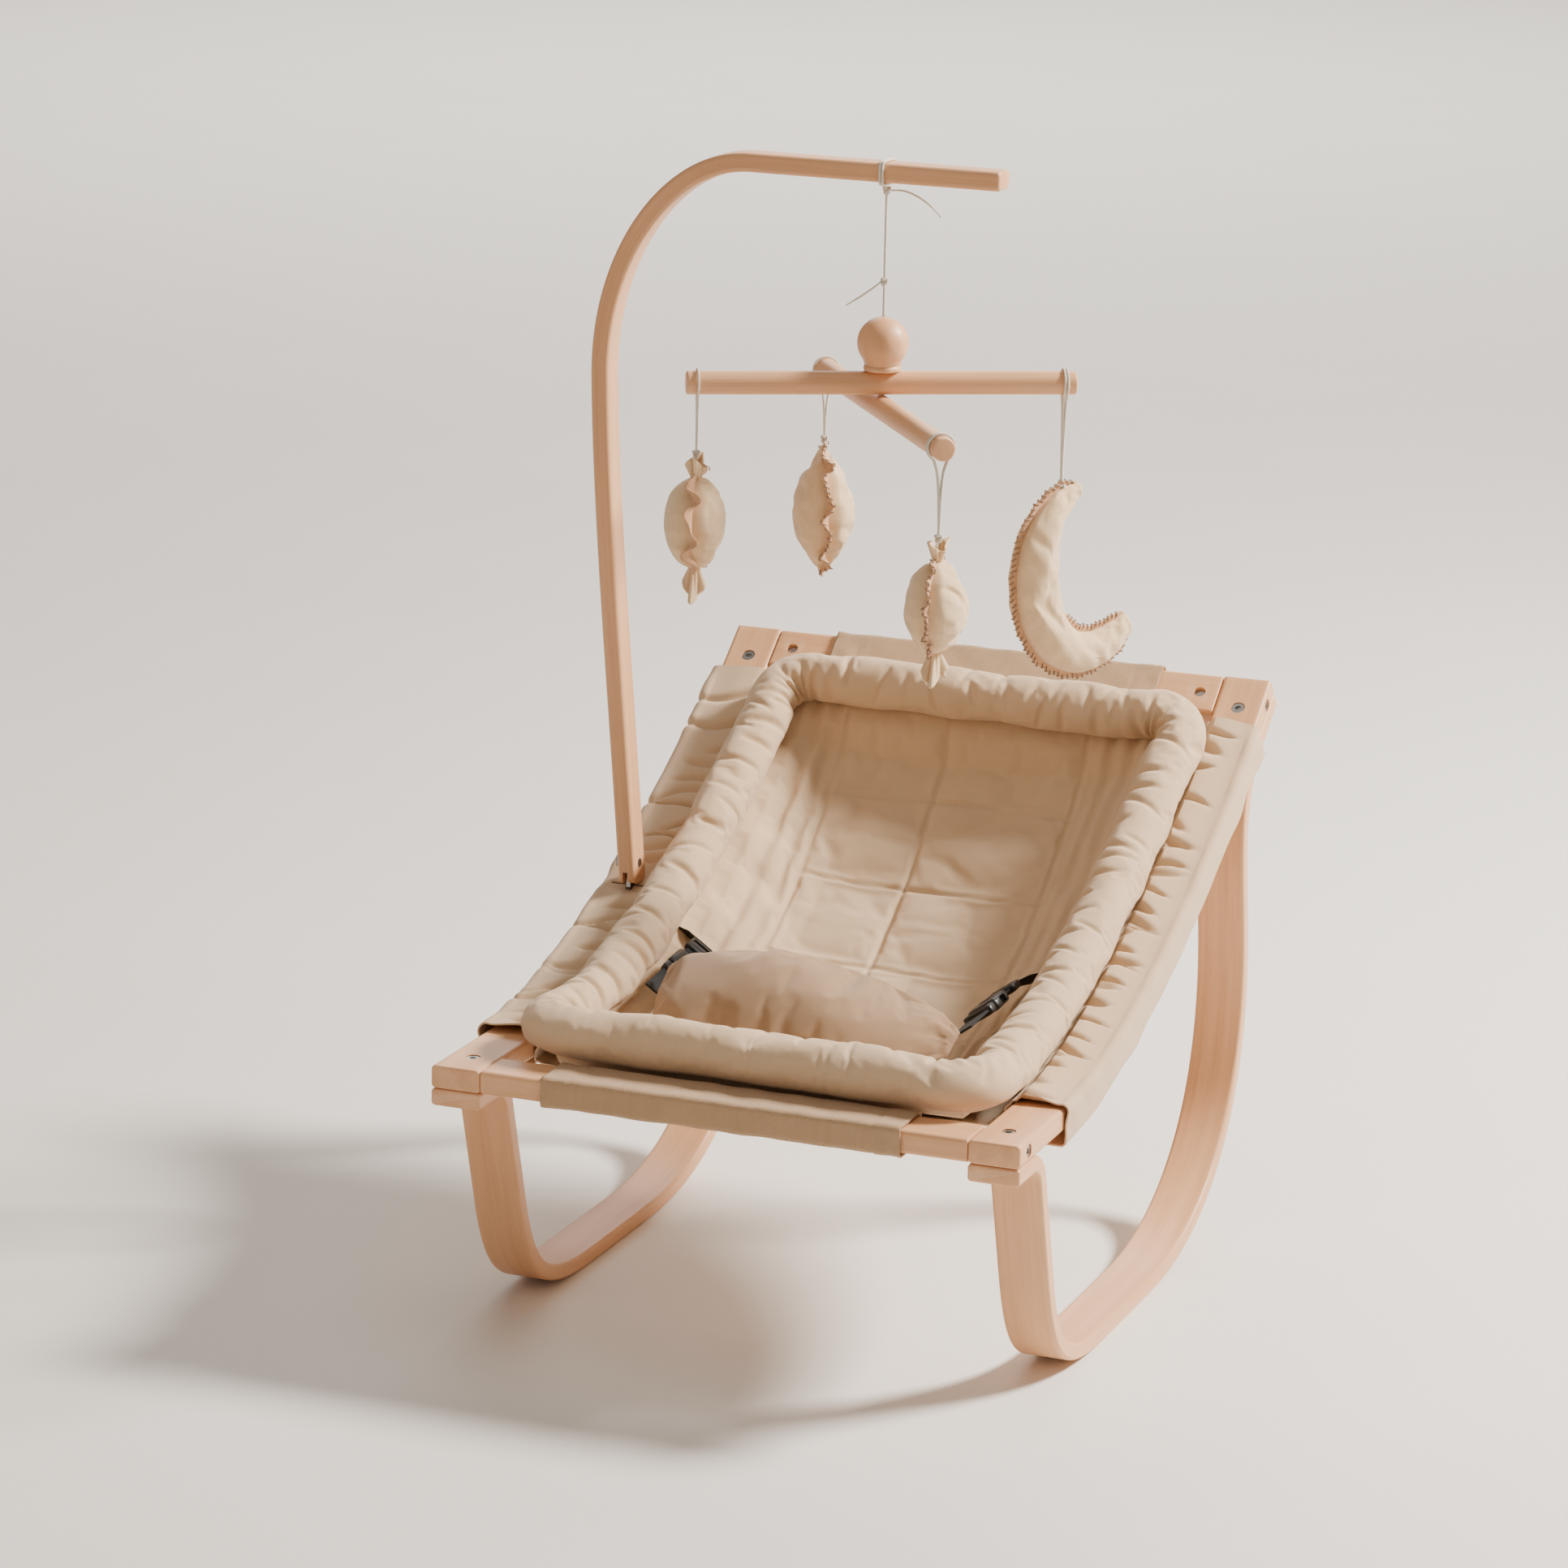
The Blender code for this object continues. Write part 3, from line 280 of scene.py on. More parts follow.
def woven_material(name, base, pitch, slub, patch=0.1, depth=0.0004):
    """Plain weave: crossing threads with slubs, thread to thread colour changes and a soft sheen."""
    material, tree, shader = new_material(name, Sheen_Weight=0.25, Sheen_Roughness=0.45, specular=0.15)
    place, along, across = surface_coords(tree)
    turns = 2 * math.pi / pitch
    warp = calc(tree, "SINE", times(tree, along, turns))
    weft = calc(tree, "SINE", times(tree, across, turns))
    weave = scaled(tree, times(tree, warp, weft), 0.5, 0.5)
    thin = 0.55 / pitch
    slub_a = noise(tree, place, (thin, thin * 0.05, thin * 0.05), 3.0, 0.6)
    slub_b = noise(tree, place, (thin * 0.05, thin, thin), 3.0, 0.6)
    threads = times(tree, calc(tree, "ADD", slub_a, slub_b), 0.5)
    patches = noise(tree, place, 22.0, 3.0, 0.6)
    tone = vary(tree, threads, 2.0 * slub)
    tone = vary(tree, patches, 2.0 * patch, tone)
    tone = vary(tree, weave, 0.22, tone)
    colour = tint(tree, (*base, 1), grey(tree, tone))
    warm = ramp(tree, patches, 0.35, 0.75, (1.0, 1.0, 1.0, 1), (1.0, 0.955, 0.9, 1))
    colour = tint(tree, colour, warm)
    roughness = scaled(tree, weave, -0.1, 0.95)
    height = calc(tree, "ADD", weave, times(tree, threads, 1.4))
    finish_material(tree, shader, colour, roughness, height, 0.55, depth)
    return material


def webbing_material(name):
    """Black webbing: rows of ribs along the strap, crossed by the weft."""
    material, tree, shader = new_material(name, Sheen_Weight=0.04, Sheen_Roughness=0.4, specular=0.25)
    place, along, across = surface_coords(tree)
    rib = calc(tree, "ABSOLUTE", calc(tree, "SINE", times(tree, across, math.pi / 0.0016)))
    slant = calc(tree, "ADD", along, times(tree, rib, 0.0006))
    pick = scaled(tree, calc(tree, "SINE", times(tree, slant, math.pi / 0.0006)), 0.5, 0.5)
    height = times(tree, rib, scaled(tree, pick, 0.5, 0.5))
    lint = noise(tree, place, 700.0, 2.0)
    tone = scaled(tree, height, 0.01, 0.003)
    tone = scaled(tree, lint, 0.006, tone)
    roughness = scaled(tree, height, -0.2, 0.85)
    finish_material(tree, shader, grey(tree, tone), roughness, height, 0.8, 0.0003)
    return material


def object_coords(tree):
    return put(tree, "ShaderNodeTexCoord", {}).outputs["Object"]


def plastic_material(name):
    """Black moulded nylon with a fine spark-eroded texture, patchy roughness and a painted edge highlight."""
    material, tree, shader = new_material(name, specular=0.5)
    place = object_coords(tree)
    grain = noise(tree, place, 2600.0, 2.0)
    rub = noise(tree, place, 160.0, 3.0)
    edge = put(tree, "ShaderNodeNewGeometry", {}).outputs["Pointiness"]
    # Painted highlight: the tone rises at sharp edges, in place of the light that they catch.
    tone = scaled(tree, ramp(tree, edge, 0.52, 0.62), 0.02, 0.005)
    roughness = scaled(tree, rub, 0.22, 0.24)
    finish_material(tree, shader, grey(tree, tone), roughness, grain, 0.25, 0.0002)
    return material


def steel_material(name):
    """Zinc-plated steel with turning marks and a few dull patches."""
    material, tree, shader = new_material(name, Metallic=1.0)
    place = object_coords(tree)
    patches = noise(tree, place, 420.0, 4.0, 0.6)
    scratches = noise(tree, place, (5200.0, 900.0, 5200.0), 3.0)
    colour = blend_colours(tree, patches, (0.3, 0.29, 0.28, 1), (0.56, 0.555, 0.54, 1))
    roughness = scaled(tree, scratches, 0.25, 0.22)
    finish_material(tree, shader, colour, roughness, scratches, 0.2, 0.0001)
    return material


def string_material(name, base=(0.78, 0.73, 0.62)):
    """Twisted cotton with fuzz and slight dirt."""
    material, tree, shader = new_material(name, Sheen_Weight=0.3, Sheen_Roughness=0.5, specular=0.2)
    place = object_coords(tree)
    fuzz = noise(tree, place, (2400.0, 2400.0, 1500.0), 3.0, 0.7)
    dirt = noise(tree, place, 90.0, 2.0)
    colour = blend_colours(tree, fuzz, tuple(0.78 * c for c in base) + (1,), (*base, 1))
    colour = blend_colours(tree, times(tree, dirt, 0.3), colour, (0.6, 0.5, 0.38, 1))
    roughness = scaled(tree, fuzz, 0.1, 0.85)
    finish_material(tree, shader, colour, roughness, fuzz, 0.6, 0.0003)
    return material


def felt_material(name, base):
    """Brushed cotton: a fine weave almost hidden by a matted nap."""
    material, tree, shader = new_material(name, Sheen_Weight=0.35, Sheen_Roughness=0.55, specular=0.12)
    place = object_coords(tree)
    nap = noise(tree, place, 1500.0, 4.0, 0.7)
    clumps = noise(tree, place, 260.0, 3.0, 0.6)
    patches = noise(tree, place, 45.0, 3.0, 0.5)
    tone = vary(tree, nap, 0.3)
    tone = vary(tree, clumps, 0.16, tone)
    tone = vary(tree, patches, 0.18, tone)
    colour = tint(tree, (*base, 1), grey(tree, tone))
    roughness = scaled(tree, nap, 0.08, 0.88)
    height = calc(tree, "ADD", nap, clumps)
    finish_material(tree, shader, colour, roughness, height, 0.5, 0.0004)
    return material


def floor_material(name):
    material, tree, shader = new_material(name, specular=0.2)
    place = object_coords(tree)
    mottle = noise(tree, place, 3.0, 3.0)
    colour = blend_colours(tree, mottle, (0.8, 0.76, 0.715, 1), (0.84, 0.805, 0.765, 1))
    roughness = scaled(tree, mottle, 0.1, 0.75)
    finish_material(tree, shader, colour, roughness, mottle, 0.05, 0.001)
    return material


MATERIALS = {
    "wood": wood_material("beech"),
    "steel": steel_material("zinc_steel"),
    "sling_linen": woven_material("sling_linen", (0.67, 0.49, 0.32), pitch=0.001, slub=0.42),
    "pad_linen": woven_material("pad_linen", (0.69, 0.505, 0.325), pitch=0.0009, slub=0.48, patch=0.12),
    # Painted shade: the loops are the sling's own cloth, made darker for the shade that falls on them.
    "loop_linen_painted_shade": woven_material("loop_linen_painted_shade", (0.5, 0.33, 0.19), 0.0018, 0.65, patch=0.18, depth=0.0009),
    "cover_linen": woven_material("cover_linen", (0.41, 0.262, 0.153), pitch=0.0007, slub=0.3),
    "webbing": webbing_material("webbing"),
    "buckle_plastic": plastic_material("buckle_plastic"),
    "cotton_string": string_material("cotton_string"),
    "toy_cotton": felt_material("toy_cotton", (0.74, 0.52, 0.3)),
    # Painted shade: the raised seams are the toy's own cloth, darkened for the shade along them.
    "toy_seam_painted_shade": felt_material("toy_seam_painted_shade", (0.6, 0.33, 0.17)),
    # Painted shade: the toys' stitch thread is dark brown for the shadow seen along the stitches.
    "toy_thread_painted_shade": string_material("toy_thread_painted_shade", (0.27, 0.15, 0.09)),
    # Painted shade: the quilt's thread is darkened to draw the shaded seam lines.
    "seam_thread_painted_shade": string_material("seam_thread_painted_shade", (0.34, 0.24, 0.15)),
}


# ---------------------------------------------------------------- lines
ACROSS, UP = np.array([1.0, 0.0, 0.0]), np.array([0.0, 0.0, 1.0])
ONTO_X = Matrix.Rotation(math.radians(90), 4, "Y")  # lays a piece that stands on Z along X


def bezier(p0, p1, p2, p3, count):
    t = np.linspace(0.0, 1.0, count + 1)[:, None]
    p0, p1, p2, p3 = (np.array(p, float) for p in (p0, p1, p2, p3))
    return (1 - t) ** 3 * p0 + 3 * t * (1 - t) ** 2 * p1 + 3 * t * t * (1 - t) * p2 + t**3 * p3


def arc(centre, radius, start, end, count):
    angles = np.radians(np.linspace(start, end, count + 1))
    return np.stack([centre[0] + radius * np.cos(angles), centre[1] + radius * np.sin(angles)], axis=1)


def smoothstep(x, low, high):
    t = np.clip((x - low) / (high - low), 0.0, 1.0)
    return t * t * (3 - 2 * t)


def run_along(points):
    """Distance of each point along a line."""
    return np.r_[0.0, np.cumsum(np.linalg.norm(np.diff(points, axis=0), axis=1))]


def resample(at, run, table):
    """A table's rows, which lie at run, interpolated at other distances."""
    return np.stack([np.interp(at, run, table[:, k]) for k in range(table.shape[1])], axis=-1)


def relax(table, rounds):
    """Averages each row with its neighbours a few times. The ends stay."""
    for _ in range(rounds):
        table[1:-1] = (table[:-2] + 2 * table[1:-1] + table[2:]) / 4
    return table


def unit_rows(table):
    return table / np.linalg.norm(table, axis=-1)[..., None]


def turning(count, closed=False):
    """Angles of a full turn."""
    return np.linspace(0.0, 2 * math.pi, count, endpoint=closed)


def wobble(seed, *coords, waves=6, low=20.0, high=70.0):
    """Smooth noise between about -1 and 1: a few sine waves with seeded directions, in radians per metre."""
    random = np.random.RandomState(seed)
    total = 0.0
    for _ in range(waves):
        rates = random.uniform(low, high, len(coords)) * random.choice([-1, 1], len(coords))
        total = total + np.sin(sum(rate * c for rate, c in zip(rates, coords)) + random.uniform(0, 6.28))
    return total / math.sqrt(waves * 2)


class Path:
    """A smooth line with a place, direction and left normal at each distance along it."""

    def __init__(self, *pieces):
        points = np.vstack([np.array(piece, float) for piece in pieces])
        keep = np.r_[True, np.linalg.norm(np.diff(points, axis=0), axis=1) > 1e-6]
        self.points = points[keep]
        self.run = run_along(self.points)
        self.length = self.run[-1]
        self.slope = unit_rows(np.gradient(self.points, self.run, axis=0))

    def at(self, s):
        """Points at distances along the line. Beyond its ends the line runs on straight."""
        s = np.asarray(s, float)
        inside = np.clip(s, 0.0, self.length)
        beyond = (s - inside)[..., None] * resample(inside, self.run, self.slope)
        return resample(inside, self.run, self.points) + beyond

    def direction(self, s):
        return unit_rows(resample(np.clip(s, 0.0, self.length), self.run, self.slope))

    def normal(self, s):
        slope = self.direction(s)
        return np.stack([-slope[..., 1], slope[..., 0]], axis=-1)


def rail_path():
    rear = np.array(RAIL_REAR)
    pull = np.array([math.cos(RAIL_REAR_SLOPE), math.sin(RAIL_REAR_SLOPE)]) * 0.16
    start = (RAIL_LEVEL, RAIL_HEIGHT)
    return Path(
        np.linspace((0.0, RAIL_HEIGHT), start, 12),
        bezier(start, (0.225, RAIL_HEIGHT), rear - pull, rear, 120),
    )


RAIL = rail_path()
RAIL_LENGTH = RAIL.length


def on_rail(s, x, rise):
    """Places at a distance along the rails' line, out by x and up along its normal, in the model's frame."""
    s, x, rise = np.broadcast_arrays(*(np.asarray(value, float) for value in (s, x, rise)))
    flat = RAIL.at(s) + RAIL.normal(s) * rise[..., None]
    return np.stack([x, flat[..., 0], flat[..., 1]], axis=-1) + SHIFT


def rail_frame(s, x=0.0, rise=0.0):
    """A matrix with its Y along the rail and its Z square to it."""
    slope = RAIL.direction(s)
    turn = Matrix.Rotation(math.atan2(slope[1], slope[0]), 4, "X")
    return Matrix.Translation(on_rail(s, x, rise)) @ turn


def layout(x, y, z):
    """Layout places in the model's frame."""
    return np.stack(np.broadcast_arrays(*(np.asarray(v, float) for v in (x, y, z))), axis=-1) + SHIFT


# ---------------------------------------------------------------- meshes
def mesh_object(name, points, faces, uv=None, depth=None):
    """A mesh with a UV pair and a depth for each face corner, in metres. uv has the faces' shape plus two."""
    mesh = bpy.data.meshes.new(name)
    mesh.from_pydata(np.asarray(points, float).reshape(-1, 3).tolist(), [], np.asarray(faces).tolist())
    corners = len(mesh.loops)
    first = mesh.uv_layers.new(name="along")
    second = mesh.uv_layers.new(name="depth")
    if uv is not None:
        first.uv.foreach_set("vector", np.asarray(uv, np.float32).reshape(-1))
    if depth is not None:
        pairs = np.zeros((corners, 2), np.float32)
        pairs[:, 0] = np.asarray(depth, np.float32).reshape(-1)
        second.uv.foreach_set("vector", pairs.reshape(-1))
    mesh.shade_smooth()
    return add_object(name, mesh)


def grid_pairs(first, second):
    """(first, second) at each place of a grid."""
    return np.stack(np.meshgrid(first, second, indexing="ij"), axis=-1)


def grid_faces(rows, cols, closed_rows=False, closed_cols=False):
    """Faces of a grid, and the row and column of each face corner without wrapping."""
    rows_of_faces, cols_of_faces = rows - (not closed_rows), cols - (not closed_cols)
    i, j = np.meshgrid(np.arange(rows_of_faces), np.arange(cols_of_faces), indexing="ij")
    row = np.stack([i, i, i + 1, i + 1], axis=-1).reshape(-1, 4)
    col = np.stack([j, j + 1, j + 1, j], axis=-1).reshape(-1, 4)
    return (row % rows) * cols + col % cols, row, col


def grid_object(name, points, uv, closed_rows=False, closed_cols=False, depth=None):
    """A grid of quads. uv and depth have one more row or column than points where the grid is closed."""
    rows, cols = points.shape[:2]
    faces, row, col = grid_faces(rows, cols, closed_rows, closed_cols)
    levels = depth[row, col] if depth is not None else None
    return mesh_object(name, points, faces, uv[row, col], levels)


def pillow_object(name, top, bottom, uv):
    """Two sheets with one shared outline. Returns the object and each sheet's vertex numbers."""
    rows, cols = top.shape[:2]
    upper = np.arange(rows * cols).reshape(rows, cols)
    lower = upper.copy()
    lower[1:-1, 1:-1] = rows * cols + np.arange((rows - 2) * (cols - 2)).reshape(rows - 2, cols - 2)
    points = np.vstack([top.reshape(-1, 3), bottom[1:-1, 1:-1].reshape(-1, 3)])
    _, row, col = grid_faces(rows, cols)
    up = upper[row, col]
    down = lower[row, col][:, ::-1]
    corner_uv = uv[row, col]
    obj = mesh_object(name, points, np.vstack([up, down]), np.vstack([corner_uv, corner_uv[:, ::-1]]))
    return obj, upper, lower


def finish_piece(obj, body, look, *nodes):
    """Gives a piece its material, the CAD nodes that it stands for, and the body that it rides on."""
    obj.data.materials.clear()
    obj.data.materials.append(MATERIALS[look])
    if nodes:
        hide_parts(*nodes)
    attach(obj, body)
    return obj


def apply_modifiers(obj):
    bpy.context.view_layer.update()
    evaluated = obj.evaluated_get(bpy.context.evaluated_depsgraph_get())
    mesh = bpy.data.meshes.new_from_object(evaluated)
    obj.modifiers.clear()
    obj.data = mesh


def subdivide(obj):
    modifier = obj.modifiers.new("smooth", "SUBSURF")
    modifier.levels = modifier.render_levels = 1


def thicken(obj, thickness):
    modifier = obj.modifiers.new("thickness", "SOLIDIFY")
    modifier.thickness = thickness
    modifier.offset = 0.0
    modifier.use_even_offset = False


def discard(obj):
    mesh = obj.data
    bpy.data.objects.remove(obj)
    bpy.data.meshes.remove(mesh)


def mesh_from(name, bm):
    """A mesh from a bmesh, which is then freed."""
    mesh = bpy.data.meshes.new(name)
    bm.to_mesh(mesh)
    bm.free()
    return mesh


def combine(obj, bm, operation, matrix=None):
    """Joins a bmesh solid to a piece or cuts it out."""
    other = add_object("other", mesh_from("other", bm))
    if matrix is not None:
        other.matrix_world = matrix
    modifier = obj.modifiers.new("combine", "BOOLEAN")
    modifier.operation = operation
    modifier.object = other
    modifier.solver = "EXACT"
    apply_modifiers(obj)
    discard(other)


def shade_edges(obj, angle=38):
    """Smooth shading, but for edges sharper than the angle in degrees."""
    obj.data.shade_smooth()
    obj.data.set_sharp_from_angle(angle=math.radians(angle))


def bore(obj, cutters):
    """Cuts these bmesh solids out of a piece and shades its sharp edges as sharp."""
    for bm, matrix in cutters:
        bmesh.ops.recalc_face_normals(bm, faces=bm.faces)
        combine(obj, bm, "DIFFERENCE", matrix)
    shade_edges(obj)


def rod_bmesh(radius, low, high):
    """A cylinder along Z that widens a little towards its upper end."""
    bm = bmesh.new()
    size = {"segments": 32, "radius1": radius, "radius2": radius + 0.00008, "depth": high - low}
    bmesh.ops.create_cone(bm, cap_ends=True, matrix=Matrix.Translation((0, 0, (low + high) / 2)), **size)
    return bm


def slab_bmesh(size, round_by=0.0):
    bm = bmesh.new()
    bmesh.ops.create_cube(bm, size=1.0, matrix=Matrix.Diagonal((*size, 1.0)))
    if round_by:
        bmesh.ops.bevel(
            bm, geom=bm.edges[:], offset=round_by, segments=3, profile=0.5, affect="EDGES", clamp_overlap=True
        )
    return bm


# ---------------------------------------------------------------- padding
CLOTH_FRAMES = 20


def simulate(obj, pins, pressure, growth, cap, bending):
    """Blows a closed cover up with Cloth and applies the result.

    pins holds each vertex: 1 is sewn down and 0 is free. growth is the spare fabric, which buckles
    into wrinkles, and cap is the furthest that a point may move.
    """
    count = len(obj.data.vertices)
    start = np.empty(count * 3, np.float32)
    obj.data.vertices.foreach_get("co", start)
    group = obj.vertex_groups.new(name="sewn")
    levels = np.round(np.clip(pins, 0.0, 1.0) * 10) / 10
    for level in np.unique(levels):
        if level > 0:
            group.add(np.flatnonzero(levels == level).tolist(), float(level), "REPLACE")
    cloth = obj.modifiers.new("padding", "CLOTH")
    settings = cloth.settings
    settings.quality = 5
    settings.mass = 0.2
    settings.air_damping = 2.0
    settings.tension_stiffness = 20.0
    settings.compression_stiffness = 20.0
    settings.shear_stiffness = 6.0
    settings.bending_stiffness = bending
    settings.use_pressure = True
    settings.uniform_pressure_force = pressure
    settings.shrink_min = -growth
    settings.vertex_group_mass = "sewn"
    settings.pin_stiffness = 1.0
    settings.effector_weights.gravity = 0.0
    cloth.collision_settings.use_collision = False
    cloth.point_cache.frame_start = 1
    cloth.point_cache.frame_end = CLOTH_FRAMES
    scene = bpy.context.scene
    for number in range(1, CLOTH_FRAMES + 1):
        scene.frame_set(number)
    evaluated = obj.evaluated_get(bpy.context.evaluated_depsgraph_get())
    moved = np.empty(count * 3, np.float32)
    evaluated.data.vertices.foreach_get("co", moved)
    obj.modifiers.remove(cloth)
    obj.vertex_groups.remove(group)
    scene.frame_set(1)
    step = (moved - start).reshape(-1, 3)
    reach = np.linalg.norm(step, axis=1)[:, None]
    step *= np.minimum(1.0, cap / np.maximum(reach, 1e-9))
    obj.data.vertices.foreach_set("co", (start.reshape(-1, 3) + step).ravel())
    obj.data.update()


# ---------------------------------------------------------------- bent wooden strips
def round_corners(half_a, half_b, r, steps):
    """A rounded rectangle's corners as a ring of (a, b) points."""
    turns = ((1, -1, -90), (1, 1, 0), (-1, 1, 90), (-1, -1, 180))
    return np.vstack([
        arc((ca * (half_a - r), cb * (half_b - r)), r, start, start + 90, steps) for ca, cb, start in turns
    ])


def rounded_section(half_a, half_b, corner, inset, steps=5):
    """Ring of (a, b) points of a rounded rectangle, drawn in by inset, with points along its flats."""
    ring = round_corners(half_a - inset, half_b - inset, max(corner - inset, 0.0004), steps)
    ends = np.roll(ring, -1, axis=0)
    out = []
    for k, (here, after) in enumerate(zip(ring, ends)):
        out.append(here)
        if (k + 1) % (steps + 1) == 0:
            out += [here * 0.97 + after * 0.03, (here + after) / 2, here * 0.03 + after * 0.97]
    return np.array(out)


def strip_object(name, length, place, half_a, half_b, corner=0.003, step=0.004, seed=0.0, ease=0.0016):
    """A strip swept along its length. place(s, a, b) gives places from distance, width and thickness."""
    along, insets = eased_ends(length, ease, max(int((length - 2 * ease) / step), 2), 5)
    rings = np.stack([rounded_section(half_a, half_b, corner, inset) for inset in insets])
    s = np.repeat(along[:, None], rings.shape[1], axis=1)
    return swept_object(name, place(s, rings[..., 0], rings[..., 1]), along + seed, rings)


def eased_ends(length, ease, count, steps):
    """Distances along a bar and how far its section is drawn in there, with a quarter round at both ends."""
    bend = np.radians(np.linspace(0.0, 90.0, steps))
    lead, draw = ease * (1 - np.sin(bend))[::-1], ease * (1 - np.cos(bend))[::-1]
    along = np.r_[lead[:-1], np.linspace(ease, length - ease, count), (length - lead[::-1])[1:]]
    return along, np.r_[draw[:-1], np.zeros(count), draw[::-1][1:]]


def swept_object(name, points, along, rings):
    """Rings of points joined into a closed bar. The rings' own (a, b) places give the grain's place."""
    rows, cols = rings.shape[:2]
    wrapped = np.concatenate([rings, rings[:, :1]], axis=1)
    uv = np.stack([np.repeat(along[:, None], cols + 1, axis=1), wrapped[..., 0]], axis=-1)
    faces, row, col = grid_faces(rows, cols, closed_cols=True)
    obj = mesh_object(name, points, faces, uv[row, col], wrapped[..., 1][row, col])
    close_ends(obj, rows, cols, along, rings)
    return obj


@contextmanager
def edited(obj):
    """A bmesh of a piece's mesh, which is written back at the end."""
    bm = bmesh.new()
    bm.from_mesh(obj.data)
    bm.verts.ensure_lookup_table()
    yield bm
    bm.to_mesh(obj.data)
    bm.free()
    obj.data.shade_smooth()


def close_ends(obj, rows, cols, along, rings):
    """Adds a flat face at each end of a swept strip, with its own UVs."""
    with edited(obj) as bm:
        first, second = bm.loops.layers.uv["along"], bm.loops.layers.uv["depth"]
        for row, order in ((0, range(cols)[::-1]), (rows - 1, range(cols))):
            face = bm.faces.new([bm.verts[row * cols + k] for k in order])
            face.smooth = True
            for loop, k in zip(face.loops, order):
                loop[first].uv = (along[row], rings[row, k, 0])
                loop[second].uv = (rings[row, k, 1], 0.0)
        bmesh.ops.recalc_face_normals(bm, faces=bm.faces)
    shade_edges(obj)


def across_rod(s, x, radius, low, high):
    """A cutter across the frame at a distance along the rail."""
    return rod_bmesh(radius, low, high), rail_frame(s, x) @ ONTO_X


def square_rod(s, x, radius, low, high):
    """A cutter square to the rail."""
    return rod_bmesh(radius, low, high), rail_frame(s, x)


def end_stations(inset):
    return (inset, RAIL_LENGTH - inset)


def make_rail(side, word):
    obj = strip_object(
        f"rail_{word}",
        RAIL_LENGTH,
        lambda s, a, b: on_rail(s, side * RAIL_X + a, b),
        RAIL_WIDTH / 2,
        RAIL_THICK / 2,
        seed=1.7 * side + 2,
    )
    outer = side * WIDTH / 2
    cutters = []
    for s in end_stations(BOLT_INSET):
        cutters.append(across_rod(s, side * RAIL_X, BOLT_HOLE, -0.03, 0.03))
        cutters.append(across_rod(s, outer, HEAD_HOLE, -0.0058, 0.0058))
    for s in end_stations(SCREW_INSET):
        cutters.append(square_rod(s, side * RAIL_X, SCREW_HOLE, -0.012, 0.012))
        cutters.append(square_rod(s, side * RAIL_X, HEAD_HOLE, 0.004, 0.012))
    bore(obj, cutters)
    finish_piece(obj, "frame", "wood", f"side_rail_{word}")


def rocker_path():
    drop = (RAIL_THICK + ROCKER_THICK) / 2 + GAP
    top = RAIL_HEIGHT - drop
    floor = ROCKER_THICK / 2
    seat_s = np.linspace(RAIL_LENGTH - 0.045, RAIL_LENGTH, 12)
    seat = RAIL.at(seat_s) - RAIL.normal(seat_s) * drop
    lead = seat[0] - RAIL.direction(RAIL_LENGTH - 0.04) * 0.02
    return Path(
        np.linspace((0.0, top), (0.032, top), 6),
        arc((0.032, top - 0.02), 0.02, 90, 16, 14)[1:],
        [(0.0739, 0.0854)],
        bezier((0.0739, 0.0854), (0.0927, 0.0201), (0.12, floor), (0.2, floor), 40)[1:],
        bezier((0.306, floor), (0.42, floor), (0.5098, 0.0605), (0.5098, 0.175), 60),
        bezier((0.5098, 0.175), (0.5098, 0.215), (0.4965, 0.25), (0.4955, 0.285), 20)[1:],
        bezier((0.4955, 0.285), (0.4935, 0.315), lead, seat[0], 20)[1:],
        seat[1:],
    )


ROCKER = rocker_path()


def on_rocker(s, x, rise):
    s, x, rise = np.broadcast_arrays(*(np.asarray(value, float) for value in (s, x, rise)))
    flat = ROCKER.at(s) + ROCKER.normal(s) * rise[..., None]
    return layout(x, flat[..., 0], flat[..., 1])


def make_rocker(side, word):
    obj = strip_object(
        f"rocker_strip_{word}",
        ROCKER.length,
        lambda s, a, b: on_rocker(s, side * RAIL_X + a, b),
        RAIL_WIDTH / 2,
        ROCKER_THICK / 2,
        corner=0.0026,
        seed=2.3 * side + 7,
    )
    bore(obj, [square_rod(s, side * RAIL_X, SCREW_HOLE, -0.0175, 0.0) for s in end_stations(SCREW_INSET)])
    finish_piece(obj, "frame", "wood", f"rocker_{word}")


def rail_axes(s):
    """The origin, along and up vectors of the rail's frame."""
    here = rail_frame(s)
    return (np.array(v)[:3] for v in (here.translation, here.col[1], here.col[2]))


def make_crossbar(word, s):
    origin, along, up = rail_axes(s)

    def place(t, a, b):
        return origin + (t - BAR_HALF)[..., None] * ACROSS + a[..., None] * along + b[..., None] * up

    obj = strip_object(
        f"crossbar_{word}", 2 * BAR_HALF, place, BAR_DEPTH / 2, RAIL_THICK / 2, seed=11 + s, ease=0.001
    )
    bolt_s = BOLT_INSET if word == "front" else RAIL_LENGTH - BOLT_INSET
    cutters = []
    for side in (-1, 1):
        cutters.append(across_rod(bolt_s, side * BAR_HALF, BOLT_HOLE, -0.03, 0.03))
        low, high = (-0.012, 0.0065) if word == "front" else (-0.0065, 0.012)
        cutters.append(square_rod(bolt_s, side * NUT_X, NUT_HOLE, low, high))
    bore(obj, cutters)
    finish_piece(obj, "frame", "wood", f"{word}_crossbar")


# ---------------------------------------------------------------- sling
SLEEVE_CLEAR = 0.0015  # of the sleeve's middle surface off the rail
SLEEVE_CLOTH = 0.0012
ROLL_REACH = 0.0208  # the roll's radius with its swelling, where gathers pass under it
SLING_END = RAIL_LENGTH - SLING_END_INSET


